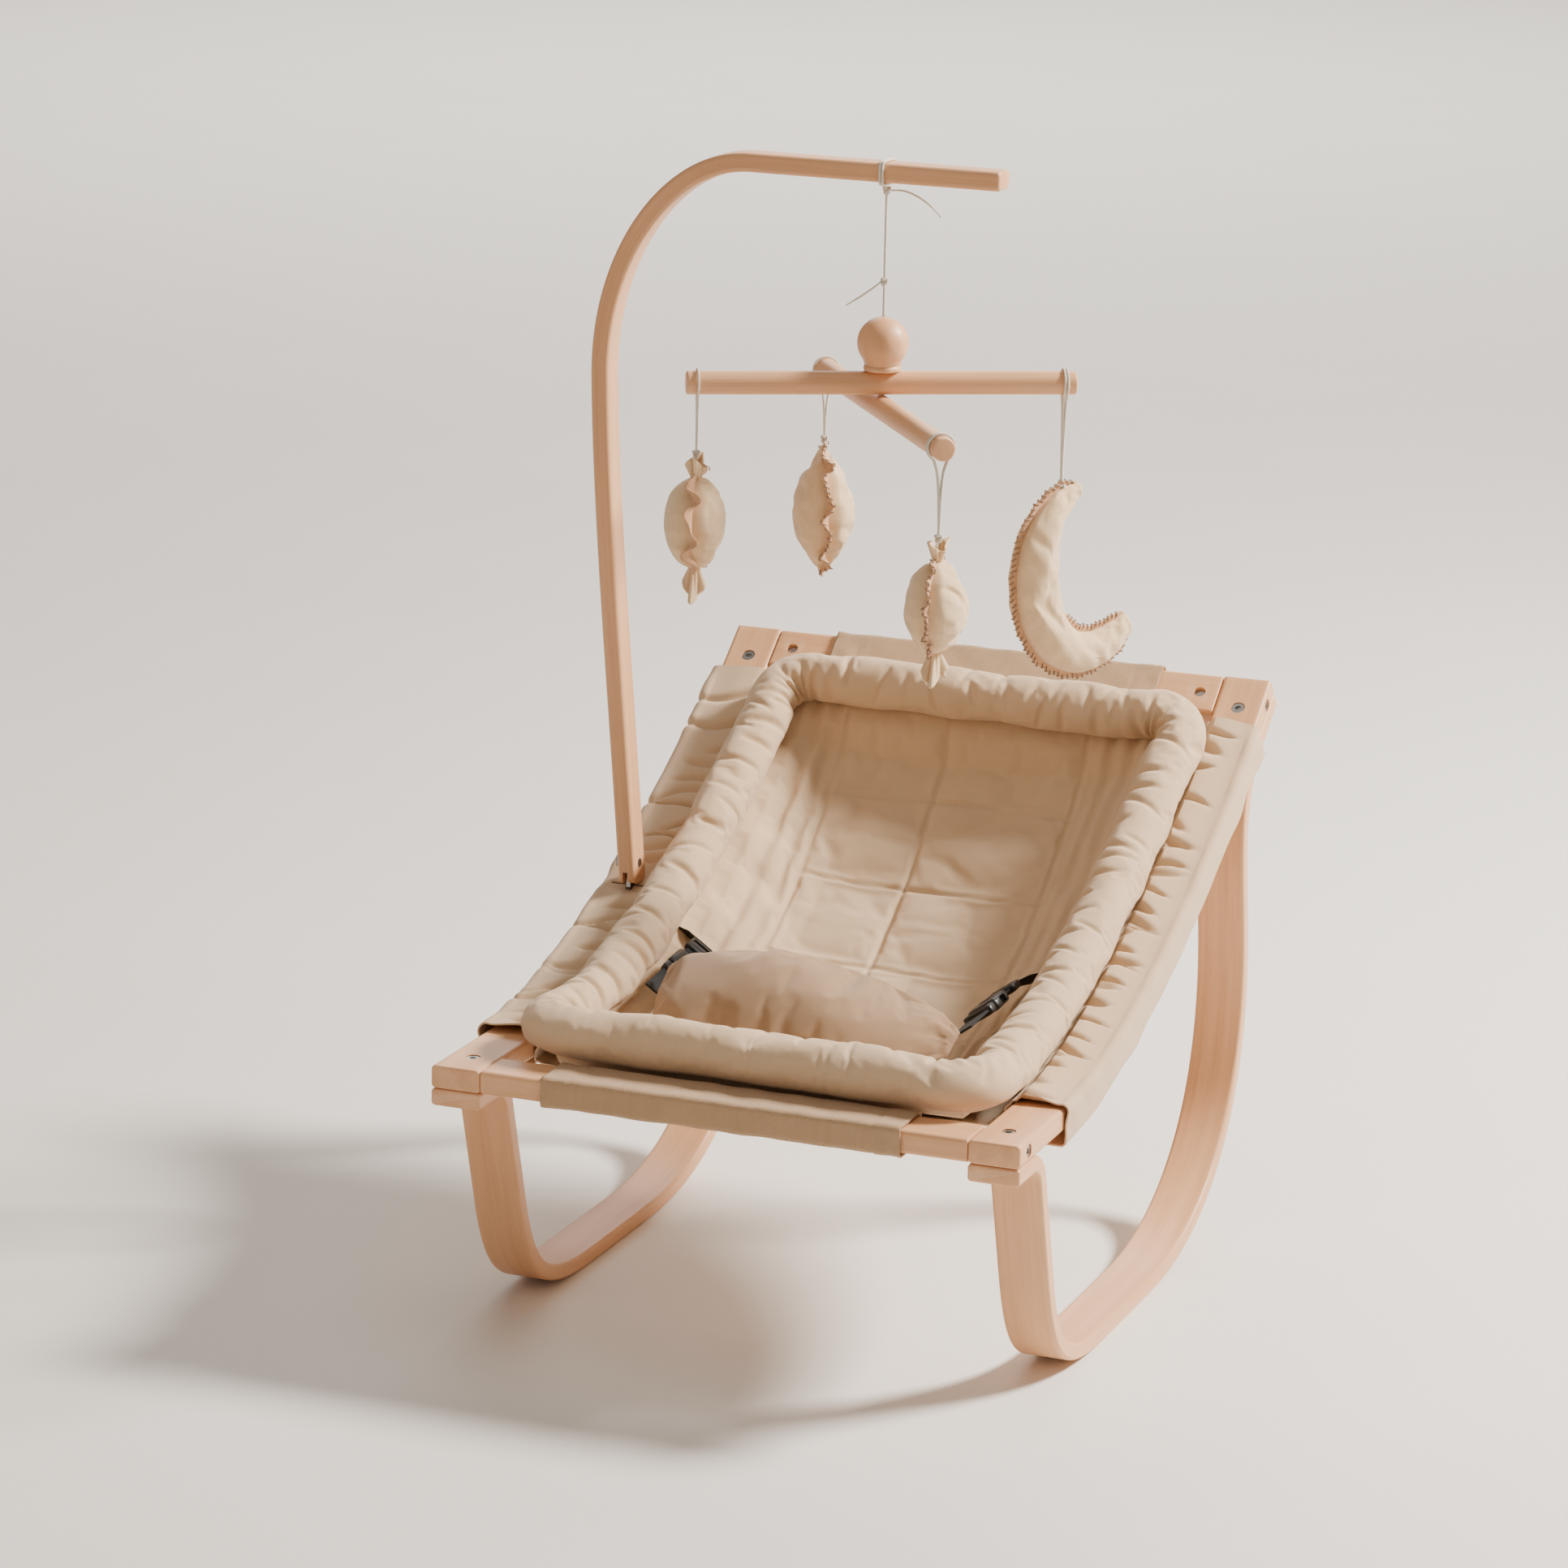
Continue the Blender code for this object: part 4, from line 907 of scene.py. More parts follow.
def sag_at(s):
    u = np.clip((s - SLING_START) / (SLING_END - SLING_START), 0.0, 1.0)
    return 0.013 + SLING_SAG * np.sin(math.pi * u**0.85)


def sling_height(x, s):
    """Height of the sling's middle surface over the rail's line."""
    reach = WIDTH / 2 - RAIL_WIDTH
    return -0.01 - (sag_at(s) - 0.01) * (1 - np.minimum(np.abs(x) / reach, 1.0) ** 2)


def sleeve_drop(s):
    return 0.008 + 0.0044 * np.clip((s - RAIL_LENGTH + 0.14) / 0.06, 0.0, 1.0)


def gather_ridges(s, reach, seed, longest):
    """Height of the gathers on a sleeve, 0 to 1. reach runs from 0 at the roll to 1 at the outer edge."""
    random = np.random.RandomState(seed)
    height = np.ones_like(s)
    at = SLING_START + 0.006
    while at < SLING_END - 0.004:
        middle = math.exp(-(((at - 0.33) / 0.16) ** 2))
        width = random.uniform(0.0022, 0.0048) * (1.2 - 0.3 * middle)
        lean = random.uniform(-0.016, 0.008)
        bow = random.uniform(-0.006, 0.006)
        stop = random.uniform(0.5, longest)
        line = at + lean * reach + bow * np.sin(math.pi * reach)
        fade = 1 - smoothstep(reach, stop - 0.45, stop)
        lens = width * (1 - 0.55 * smoothstep(reach, 0.2, stop))
        height -= random.uniform(0.6, 1.0) * np.exp(-(((s - line) / lens) ** 2)) * fade
        at += random.uniform(0.009, 0.03) * (1.2 - 0.4 * middle)
    return np.clip(height, -0.15, 1.0)


def sleeve_line(s):
    """Half of the sling's cross-section from the middle out and round the rail, as (x, n), at each s."""
    inner, outer = WIDTH / 2 - RAIL_WIDTH - SLEEVE_CLEAR, WIDTH / 2 + SLEEVE_CLEAR
    top = RAIL_THICK / 2 + SLEEVE_CLEAR
    bottom = -RAIL_THICK / 2 - SLEEVE_CLEAR - sleeve_drop(s)
    turn = 0.0032
    x, n = [], []

    def add(px, pn):
        x.append(np.broadcast_to(np.asarray(px, float), s.shape))
        n.append(np.broadcast_to(np.asarray(pn, float), s.shape))

    for px in np.linspace(0.0, 0.166, 34):
        add(px, sling_height(px, s))
    for pn in np.linspace(-0.0085, top - turn, 8):
        add(inner, pn)
    for px, pn in arc((inner + turn, top - turn), turn, 180, 90, 6)[1:]:
        add(px, pn)
    for px in np.linspace(inner + turn, outer - turn, 34)[1:-1]:
        add(px, top)
    for px, pn in arc((outer - turn, top - turn), turn, 90, 0, 6):
        add(px, pn)
    for k in np.linspace(0.0, 1.0, 14)[1:]:
        add(outer, (top - turn) * (1 - k) + (bottom + turn) * k)
    for px, pn in arc((outer - turn, 0.0), turn, 0, -90, 6)[1:]:
        add(px, bottom + turn + pn)
    for px in np.linspace(outer - turn, inner + 0.008, 16)[1:]:
        add(px, bottom)
    return np.stack(x, axis=1), np.stack(n, axis=1)


def make_sling():
    s = np.arange(SLING_START, SLING_END + 0.0005, 0.0017)
    half_x, half_n = sleeve_line(s)
    x = np.concatenate([-half_x[:, :0:-1], half_x], axis=1)
    n = np.concatenate([half_n[:, :0:-1], half_n], axis=1)
    steps = np.hypot(np.diff(x, axis=1), np.diff(n, axis=1))
    girth = np.concatenate([np.zeros((len(s), 1)), np.cumsum(steps, axis=1)], axis=1)
    out_x, out_n = np.gradient(n, axis=1), -np.gradient(x, axis=1)
    size = np.hypot(out_x, out_n)
    out_x, out_n = -out_x / size, -out_n / size
    along = np.repeat(s[:, None], x.shape[1], axis=1)
    inner, outer = WIDTH / 2 - RAIL_WIDTH, WIDTH / 2
    reach = np.clip((np.abs(x) - inner) / (outer - inner), 0.0, 1.0)
    on_top = smoothstep(n, -0.004, 0.007) * (np.abs(x) > inner - 0.004)
    side_on = smoothstep(np.abs(x), outer - 0.004, outer) * smoothstep(n, -0.019, -0.006)
    lift = np.where(x > 0, gather_ridges(along, reach, 5, 1.0), gather_ridges(along, reach, 23, 1.7))
    fall = np.where(x > 0, 0.85, 0.45)
    tall = 0.0058 * (1 - fall * smoothstep(reach, 0.25, 0.95)) + 0.0004
    push = on_top * tall * lift
    push += side_on * 0.0011 * (0.6 + 0.6 * wobble(3, along, n, low=60, high=190))
    gap_x = np.where(x > 0, x - ROLL_SHIFT - ROLL_X, x - ROLL_SHIFT + ROLL_X)
    roll_under = ROLL_RISE + ROLL_SINK - np.sqrt(np.maximum(ROLL_REACH**2 - gap_x**2, 0.0))
    room = np.where(np.abs(gap_x) < ROLL_REACH, roll_under - n - 0.002, 0.02)
    push = np.where(on_top > 0.3, np.minimum(push, np.maximum(room, 0.0)), push)
    foot = np.hypot(along - ARCH_STATION, 0.8 * (x - ARCH_FOOT_X))
    over_plate = 1 - smoothstep(foot, 0.015, 0.024)
    push = push * (1 - over_plate) + over_plate * np.where(on_top > 0.5, 0.0021, 0.0)
    under = (np.abs(x) < inner - 0.004).astype(float)
    push += under * 0.001 * wobble(9, along, x, low=12, high=60)
    hang = smoothstep(-n, 0.012, 0.02) * (np.abs(x) > inner)
    push += hang * 0.0014 * wobble(31, along, x, low=50, high=160)
    points = on_rail(along, x + push * out_x, n + push * out_n)
    girth = girth - girth[:, girth.shape[1] // 2][:, None]
    uv = np.stack([along, girth], axis=-1)
    obj = grid_object("sling", points, uv)
    thicken(obj, SLEEVE_CLOTH)
    window = rail_frame(ARCH_STATION - 0.006, ARCH_FOOT_X, RAIL_THICK / 2 + 0.004)
    cutters = [(slab_bmesh((0.005, 0.013, 0.016)), window), (slab_bmesh((0.03, 0.0022, 0.016)), window)]
    bore(obj, cutters)
    finish_piece(obj, "frame", "sling_linen", "seat_sling")


def bar_loop_line(way):
    """The loop's path round a crossbar as (along, up) points, with its corners rounded."""
    clear = 0.0014
    depth, height, turn = BAR_DEPTH / 2 + clear, RAIL_THICK / 2 + clear, 0.003
    tail = 0.065 if way > 0 else 0.026
    line = np.vstack([
        np.linspace((tail, -0.0105), (depth + 0.004, -0.007), 10)[:-1],
        arc((depth + 0.004, 0.0), 0.005, -100, -180, 4) * [1.0, 0.0] + [0.0, -0.004],
        np.linspace((depth, -0.0015), (depth, height - turn), 5)[:-1],
        arc((depth - turn, height - turn), turn, 0, 90, 6),
        np.linspace((depth - turn, height), (turn - depth, height), 18)[1:-1],
        arc((turn - depth, height - turn), turn, 90, 180, 6),
        np.linspace((-depth, height - turn), (-depth, turn - height), 8)[1:-1],
        arc((turn - depth, turn - height), turn, 180, 270, 6),
        np.linspace((turn - depth, -height), (depth - 0.004, -height), 16)[1:],
    ])
    return line * [way, 1.0]


def make_bar_loop(word, s, way, look):
    """The sling's end wrapped round a crossbar: a coarse band with a stitched hem at both ends."""
    line = bar_loop_line(way)
    girth = run_along(line)
    x = np.linspace(-LOOP_HALF, LOOP_HALF, 170)
    grid_x, grid_g = np.meshgrid(x, girth, indexing="ij")
    out = np.stack([np.gradient(line[:, 1]), -np.gradient(line[:, 0])], axis=1)
    out /= np.linalg.norm(out, axis=1)[:, None] * way
    near_end = smoothstep(np.abs(grid_x), LOOP_HALF - 0.028, LOOP_HALF - 0.018)
    seam = np.exp(-(((np.abs(grid_x) - LOOP_HALF + 0.02) / 0.001) ** 2))
    puff = 0.0006 + 0.0004 * wobble(41, grid_x, grid_g, low=60, high=240)
    puff = puff + near_end * (0.0002 + 0.0003 * wobble(47, grid_x, grid_g, low=150, high=420)) - 0.0005 * seam
    puff = np.maximum(puff, 0.0003)
    origin, along, up = rail_axes(s)
    flat = line[None] + puff[..., None] * out[None]
    points = origin + grid_x[..., None] * ACROSS + flat[..., :1] * along + flat[..., 1:] * up
    obj = grid_object(f"{word}_wrap", points, np.stack([grid_x, grid_g], axis=-1))
    thicken(obj, SLEEVE_CLOTH)
    finish_piece(obj, "frame", look, f"{word}_loop")


# ---------------------------------------------------------------- seat pad
PAD_HALF = 0.149
PAD_SHIFT = 0.004
PAD_FRONT = 0.056
PAD_REAR = RAIL_LENGTH - 0.068
PAD_RIM = 0.013
PAD_RIM_RISE = 0.007
QUILT_LINES = (-0.096, -0.0195, 0.089)
QUILT_ROWS = (0.153, 0.231, 0.3095, 0.3895, 0.467)
QUILT_BOW = 0.9
STITCH_PITCH = 0.0032


def pad_surface(x, s):
    """Height of the pad's upper face over the rail's line, before it is padded."""
    middle = sling_height(0.0, s) + 0.0142
    rim = PAD_RIM_RISE + (PAD_RIM - PAD_RIM_RISE) * smoothstep(np.abs(x), 0.118, 0.14)
    height = rim - (rim - middle) * (1 - np.minimum(np.abs(x) / PAD_HALF, 1.0) ** 2.6)
    reach = 0.036
    front = 1 - smoothstep(s, PAD_FRONT, PAD_FRONT + reach)
    ends = np.maximum(front, smoothstep(s, PAD_REAR - reach, PAD_REAR))
    return height + (PAD_RIM - height) * ends


def quilt_line(k, s):
    """Where the quilt's lengthwise line k lies across the seat, a little unsteady as sewn by hand."""
    return QUILT_LINES[k] + 0.0022 * wobble(60 + k, s, low=8, high=22)


def quilt_row(k, x):
    """Where the quilt's cross line k lies along the seat. It bows towards the foot end at the sides."""
    return QUILT_ROWS[k] - QUILT_BOW * x * x + 0.0016 * wobble(80 + k, x, low=14, high=40)


def quilt_grooves(x, s):
    """1 on a sewn line of the quilt and 0 away from it."""
    groove = np.zeros_like(x)
    for k in range(len(QUILT_LINES)):
        groove = np.maximum(groove, np.exp(-(((x - quilt_line(k, s)) / 0.0015) ** 2)))
    inside = smoothstep(-np.abs(x), -0.098, -0.09)
    for k in range(len(QUILT_ROWS)):
        groove = np.maximum(groove, inside * np.exp(-(((s - quilt_row(k, x)) / 0.0014) ** 2)))
    return groove


def side_pleats(x, s):
    """Lengthwise folds in the slack side panels of the pad."""
    side = smoothstep(np.abs(x), 0.094, 0.104) * smoothstep(-np.abs(x), -0.14, -0.13)
    drift = 0.005 * wobble(91, s, low=9, high=24)
    fold = np.sin((np.abs(x) - 0.094 + drift) * 2 * math.pi / 0.0165 + 0.8 * wobble(95, s, low=15, high=40))
    tucks = wobble(97, s, 0.35 * x, low=60, high=170)
    return side * (0.0019 * fold + 0.0011 * tucks)


def make_pad():
    x = np.linspace(-PAD_HALF, PAD_HALF, 127)
    s = np.linspace(PAD_FRONT, PAD_REAR, 197)
    grid_s, grid_x = np.meshgrid(s, x, indexing="ij")
    groove = quilt_grooves(grid_x, grid_s)
    surface = pad_surface(grid_x, grid_s)
    loose = smoothstep(PAD_HALF - np.abs(grid_x), 0.0, 0.02)
    loose = loose * smoothstep(np.minimum(grid_s - PAD_FRONT, PAD_REAR - grid_s), 0.0, 0.02)
    puff = 0.0022 * loose * (1 - groove) - 0.0016 * groove
    wrinkle = 0.0004 * loose * wobble(71, grid_x, grid_s, low=30, high=90)
    place_x = grid_x + PAD_SHIFT
    top = on_rail(grid_s, place_x, surface + puff + wrinkle + side_pleats(grid_x, grid_s))
    below = np.maximum(sling_height(place_x, grid_s) + 0.003, surface - 0.0115)
    bottom = on_rail(grid_s, place_x, np.minimum(below, surface - 0.001))
    obj, upper, lower = pillow_object("quilted_pad", top, bottom, np.stack([grid_s, grid_x], axis=-1))
    pins = np.zeros(len(obj.data.vertices))
    pins[lower.ravel()] = 1.0
    hold = np.maximum(groove, 1 - smoothstep(loose, 0.0, 0.4))
    pins[upper.ravel()] = np.where(hold > 0.5, 1.0, 0.0).ravel()
    simulate(obj, pins, pressure=3.5, growth=0.012, cap=0.004, bending=1.5)
    subdivide(obj)
    finish_piece(obj, "frame", "pad_linen", "seat_pad")
    make_quilt_stitches()


def make_quilt_stitches():
    """Lockstitch along the quilt's lines: short thread dashes sunk in the grooves, in a thread darkened as
    painted shade.
    """
    s = np.arange(PAD_FRONT + 0.014, PAD_REAR - 0.014, STITCH_PITCH)
    x = np.arange(QUILT_LINES[0], QUILT_LINES[2], STITCH_PITCH)
    lines = [(s, quilt_line(k, s)) for k in range(len(QUILT_LINES))]
    lines += [(quilt_row(k, x), x) for k in range(len(QUILT_ROWS))]
    dashes = []
    for s, x in lines:
        places = on_rail(s, x + PAD_SHIFT, pad_surface(x, s) - 0.0013)
        for a, b in zip(places[:-1], places[1:]):
            dashes.append((a, a + (b - a) * 0.68))
    obj = dash_object("quilt_stitches", dashes, 0.00042, bow=0.0004)
    finish_piece(obj, "frame", "seam_thread_painted_shade")


def dash_object(name, dashes, radius, bow, up=(0.0, -0.35, 0.94)):
    """Many short threads in one mesh, each a bowed five-sided tube that dips in at both ends."""
    lift = np.array(up)
    points, faces = [], []
    for a, b in dashes:
        a, b = np.asarray(a, float), np.asarray(b, float)
        run = b - a
        size = np.linalg.norm(run)
        if size < 1e-7:
            continue
        run = run / size
        side = np.cross(run, lift)
        side /= max(np.linalg.norm(side), 1e-9)
        top = np.cross(side, run)
        base = len(points)
        for t, wide in ((0.0, 0.45), (0.25, 1.0), (0.75, 1.0), (1.0, 0.45)):
            middle = a + run * size * t + top * bow * math.sin(math.pi * t)
            for k in range(5):
                angle = 2 * math.pi * k / 5
                points.append(middle + radius * wide * (math.cos(angle) * side + math.sin(angle) * top))
        for ring in range(3):
            for k in range(5):
                low, high = base + ring * 5, base + ring * 5 + 5
                faces.append((low + k, low + (k + 1) % 5, high + (k + 1) % 5, high + k))
    obj = mesh_object(name, points, faces)
    return obj


# ---------------------------------------------------------------- padded roll
def roll_plan():
    front, rear = ROLL_FRONT, RAIL_LENGTH - ROLL_REAR_INSET
    x, r = ROLL_X - ROLL_CORNER, ROLL_CORNER
    return Path(
        np.linspace((0.0, front), (x, front), 20),
        arc((x, front + r), r, -90, 0, 18),
        np.linspace((ROLL_X, front + r), (ROLL_X, rear - r), 60),
        arc((x, rear - r), r, 0, 90, 18),
        np.linspace((x, rear), (-x, rear), 40),
        arc((-x, rear - r), r, 90, 180, 18),
        np.linspace((-ROLL_X, rear - r), (-ROLL_X, front + r), 60),
        arc((-x, front + r), r, 180, 270, 18),
        np.linspace((-x, front), (0.0, front), 20),
    )


def roll_creases(along, angle, length):
    """Depth of the roll's creases, 0 to 1. The angle is 0 on the inner side and 90 degrees on top."""
    random = np.random.RandomState(12)
    side = RAIL_LENGTH - ROLL_REAR_INSET - ROLL_FRONT - 2 * ROLL_CORNER
    bend = math.pi / 2 * ROLL_CORNER
    flat = 2 * (ROLL_X - ROLL_CORNER)
    corners = [flat / 2 + bend / 2]
    corners += [corners[0] + bend + side, corners[0] + 2 * bend + side + flat]
    corners += [corners[2] + bend + side]
    depth = np.zeros_like(along)

    def crease(at, turn, extent, width, strength, lean):
        nonlocal depth
        gap = along - at - lean * (angle - turn)
        gap = (gap + length / 2) % length - length / 2
        swing = (angle - turn + math.pi) % (2 * math.pi) - math.pi
        shape = np.exp(-((gap / width) ** 2)) * np.exp(-((swing / extent) ** 4))
        depth = np.maximum(depth, strength * shape)

    at = 0.0
    while at < length - 0.012:
        near = min(abs((at - c + length / 2) % length - length / 2) for c in corners)
        front_run = at < flat / 2 - 0.01 or at > length - flat / 2 + 0.01
        strength = random.uniform(0.35, 0.8) * (0.28 if front_run else 1.0)
        turn = random.uniform(0.25, 1.45)
        extent, width = random.uniform(0.5, 0.95), random.uniform(0.002, 0.0034)
        crease(at, turn, extent, width, strength, random.uniform(-0.006, 0.006))
        if random.uniform() < 0.45:
            crease(at + 0.008, turn + 0.9, 0.5, 0.0022, 0.6 * strength, random.uniform(-0.008, 0.004))
        at += random.uniform(0.014, 0.032) * (0.75 if near < 0.05 else 1.0)
    for c in corners:
        for shift in (-0.021, -0.008, 0.002, 0.014, 0.027):
            crease(c + shift, 0.2, 0.9, 0.0028, random.uniform(0.7, 1.0), random.uniform(-0.004, 0.004))
    return depth


def roll_seams(along, length):
    """1 on a cross seam between the roll's panels."""
    seam = np.zeros_like(along)
    for at in ROLL_SEAMS:
        gap = (along - at + length / 2) % length - length / 2
        seam = np.maximum(seam, np.exp(-((gap / 0.0012) ** 2)))
    return seam


def roll_place(plan, along, angle, radius):
    """A place on the roll: the angle turns from the inner side (0) up over the top."""
    flat = plan.at(along)
    normal = plan.normal(along)
    out = -np.cos(angle)[..., None] * radius[..., None] * -normal
    x = ROLL_SHIFT + flat[..., 0] + out[..., 0]
    s = flat[..., 1] + out[..., 1] - ROLL_YAW * flat[..., 0]
    x = x - 0.007 * smoothstep(-x, 0.1, 0.14) * (1 - smoothstep(s, 0.05, 0.16))
    push = 0.004 * smoothstep(x, 0.11, 0.145) * smoothstep(s, 0.47, 0.515)
    x, s = x + 0.7 * push, s + push
    rise = ROLL_RISE + ROLL_SINK + radius * np.sin(angle)
    bearing = np.where((np.abs(x) > ROLL_BEARING_X) | (s < ROLL_BEARING_S), ROLL_BEARING, rise)
    return on_rail(s, x, np.maximum(rise, bearing))


ROLL_RADIUS = 0.0184
ROLL_BEARING = 0.0116  # the least rise over the sleeves, past this x, and over the front bar, before this s
ROLL_BEARING_X = 0.168
ROLL_BEARING_S = 0.043
ROLL_SINK = -0.0004
ROLL_YAW = 0.018
ROLL_SEAMS = (0.054, 0.662, 0.756)


def make_roll():
    plan = roll_plan()
    length = plan.length
    rows, cols = 760, 44
    along = np.linspace(0.0, length, rows, endpoint=False)
    angle = np.linspace(-math.pi / 2, 1.5 * math.pi, cols, endpoint=False)
    grid_s, grid_a = np.meshgrid(along, angle, indexing="ij")
    depth = roll_creases(grid_s, grid_a, length)
    seam = roll_seams(grid_s, length)
    round_s, girth = grid_s * 2 * math.pi / length, 0.02
    swell = wobble(17, np.sin(round_s) * 0.25, np.cos(round_s) * 0.25, low=40, high=110)
    radius = ROLL_RADIUS + 0.0008 * swell
    lumps = wobble(19, np.cos(grid_a) * girth, np.sin(grid_a) * girth, grid_s, low=30, high=120)
    radius = radius + 0.0005 * lumps - 0.005 * depth - 0.0009 * seam
    points = roll_place(plan, grid_s, grid_a, radius)
    wrap_s, wrap_a = np.meshgrid(np.r_[along, length], np.r_[angle, 1.5 * math.pi], indexing="ij")
    obj = grid_object("rim_roll", points, np.stack([wrap_s, wrap_a * 0.019], axis=-1), True, True)
    pins = np.where(depth > 0.45, 1.0, 0.0)
    pins = np.maximum(pins, np.where(seam > 0.5, 1.0, 0.0))
    under = (grid_a + math.pi / 2 + math.pi) % (2 * math.pi) - math.pi
    pins = np.maximum(pins, np.where(np.abs(under) < 0.95, 1.0, 0.0))
    simulate(obj, pins.ravel(), pressure=4.0, growth=0.03, cap=0.0024, bending=0.4)
    subdivide(obj)
    finish_piece(obj, "frame", "pad_linen", "pad_roll")


# ---------------------------------------------------------------- lap cover
def lap_edges(u):
    """Front and rear edge of the lap cover for u from -1 at its left end to 1 at its right."""
    keys = np.array([-1.0, -0.8, -0.58, -0.25, 0.1, 0.42, 0.74, 1.0])
    rear = np.array([
        (-0.11, 0.17, 0.233), (-0.094, 0.174, 0.243), (-0.066, 0.177, 0.248), (-0.024, 0.18, 0.254),
        (0.02, 0.18, 0.2475), (0.058, 0.176, 0.238), (0.092, 0.166, 0.229), (0.114, 0.156, 0.218),
    ])
    front = np.array([
        (-0.104, 0.128, 0.207), (-0.092, 0.1, 0.203), (-0.066, 0.092, 0.203), (-0.026, 0.088, 0.204),
        (0.014, 0.088, 0.204), (0.052, 0.09, 0.203), (0.088, 0.106, 0.203), (0.112, 0.14, 0.209),
    ])
    spread = [np.interp(u, keys, table[:, k]) for table in (front, rear) for k in range(3)]
    kernel = np.array([1, 4, 6, 4, 1]) / 16
    smooth = [np.convolve(np.pad(line, 2, mode="edge"), kernel, mode="valid") for line in spread]
    return np.stack(smooth[:3], axis=-1), np.stack(smooth[3:], axis=-1)


def make_lap_cover():
    u, v = np.linspace(-1.0, 1.0, 81), np.linspace(0.0, 1.0, 41)
    front, rear = lap_edges(u)
    front, rear = relax(front, 5), relax(rear, 5)
    grid_v, grid_u = np.meshgrid(v, u, indexing="ij")
    flat = front[None] * (1 - grid_v[..., None]) + rear[None] * grid_v[..., None]
    bulge = np.sin(math.pi * grid_v) ** 0.8 * np.cos(grid_u * math.pi / 2) ** 0.6
    flat[..., 2] += 0.016 * bulge
    right_pull = smoothstep(grid_u, 0.45, 0.95)
    folds = np.sin((grid_v + 0.15 * grid_u) * 21.0) * right_pull * (1 - right_pull * 0.3)
    left_pull = smoothstep(-grid_u, 0.75, 1.0)
    folds = folds + 0.6 * np.sin(grid_v * 17.0) * left_pull
    rim = np.minimum(smoothstep(grid_v, 0.0, 0.06), smoothstep(1 - grid_v, 0.0, 0.06))
    rim = rim * smoothstep(1 - np.abs(grid_u), 0.0, 0.05)
    half = 0.0034 * np.sqrt(rim)
    wave = 0.002 * folds * rim + 0.0013 * rim * wobble(55, flat[..., 0], flat[..., 1], low=25, high=90)
    top, bottom = flat.copy(), flat.copy()
    top[..., 2] += half + wave
    bottom[..., 2] -= half * 0.8 - wave
    uv = np.stack([flat[..., 0], grid_v * 0.095], axis=-1)
    obj, upper, lower = pillow_object("lap_flap", top + SHIFT, bottom + SHIFT, uv)
    pins = np.zeros(len(obj.data.vertices))
    edge = np.where(rim < 0.02, 1.0, 0.0)
    pins[upper.ravel()] = edge.ravel()
    lower_hold = np.maximum(edge, 0.3)
    pins[lower.ravel()] = np.maximum(pins[lower.ravel()], lower_hold.ravel())
    simulate(obj, pins, pressure=3.0, growth=0.03, cap=0.0055, bending=0.3)
    subdivide(obj)
    finish_piece(obj, "frame", "cover_linen", "lap_cover")


# ---------------------------------------------------------------- belt
def belt_frame(side, along):
    start = Vector((side * BELT_FRONT[0], *BELT_FRONT[1:]))
    end = Vector((side * BELT_REAR[0], *BELT_REAR[1:]))
    direction = (end - start).normalized()
    turn = Matrix.Rotation(math.atan2(-direction.x, direction.y), 4, "Z")
    turn = turn @ Matrix.Rotation(math.asin(direction.z), 4, "X")
    turn = turn @ Matrix.Rotation(-side * STRAP_TILT, 4, "Y")
    return Matrix.Translation(start + direction * along + Vector(SHIFT)) @ turn


def make_strap(name, side, start, end, body, node, tuck=0.0):
    """Webbing along the belt's line, with a woven edge at each side. tuck bends its end under the roll."""
    base = np.array(belt_frame(side, 0.0))
    y = np.linspace(start, end, 28)
    section = rounded_section(STRAP_WIDTH / 2, 0.0008, 0.0007, 0.0, steps=3)
    shift, drop = 0.015 * smoothstep(y, 0.09, end)[:, None], 0.008 * smoothstep(y, 0.096, end)[:, None]
    a = np.repeat(section[None, :, 0], len(y), axis=0) + tuck * side * shift
    b = section[None, :, 1] + 0.0002 * np.sin(a * 900) - tuck * drop
    local = np.stack([a, np.repeat(y[:, None], a.shape[1], axis=1), b], axis=-1)
    points = local @ base[:3, :3].T + base[:3, 3]
    rows, cols = a.shape
    uv = np.stack([np.repeat(y[:, None], cols + 1, axis=1), np.concatenate([a, a[:, :1]], axis=1)], axis=-1)
    faces, row, col = grid_faces(rows, cols, closed_cols=True)
    obj = mesh_object(name, points, faces, uv[row, col])
    close_ends(obj, rows, cols, y, np.repeat(section[None], rows, axis=0))
    finish_piece(obj, body, "webbing", node)
    return obj


def moulding(name, blocks, holes, matrix, ribs=()):
    """A moulded piece: rounded blocks joined, holes cut through and thin ribs raised on it."""
    obj = None
    for size, centre, round_by in blocks:
        bm = block_bmesh(size, centre, round_by)
        if obj is None:
            obj = add_object(name, mesh_from(name, bm))
        else:
            combine(obj, bm, "UNION")
    bore(obj, [(block_bmesh(*hole), Matrix()) for hole in holes])
    for rib in ribs:
        combine(obj, block_bmesh(*rib), "UNION")
    obj.data.transform(matrix)
    shade_edges(obj, 50)
    return obj


def block_bmesh(size, centre, round_by):
    bm = slab_bmesh(size, round_by)
    bmesh.ops.translate(bm, verts=bm.verts, vec=centre)
    return bm


def make_belt(side, word):
    make_strap(f"lap_webbing_{word}", side, 0.0, 0.033, f"tongue_{word}", f"lap_strap_{word}")
    reach, tuck = (0.123, 1.0) if side > 0 else (0.113, 1.5)
    make_strap(f"side_webbing_{word}", side, 0.067, reach, "frame", f"side_strap_{word}", tuck)
    for piece, body, node, blocks, holes, ribs in BELT_MOULDINGS:
        obj = moulding(piece.format(word), blocks, holes, belt_frame(side, 0.0), ribs)
        finish_piece(obj, body.format(word), "buckle_plastic", node.format(word))


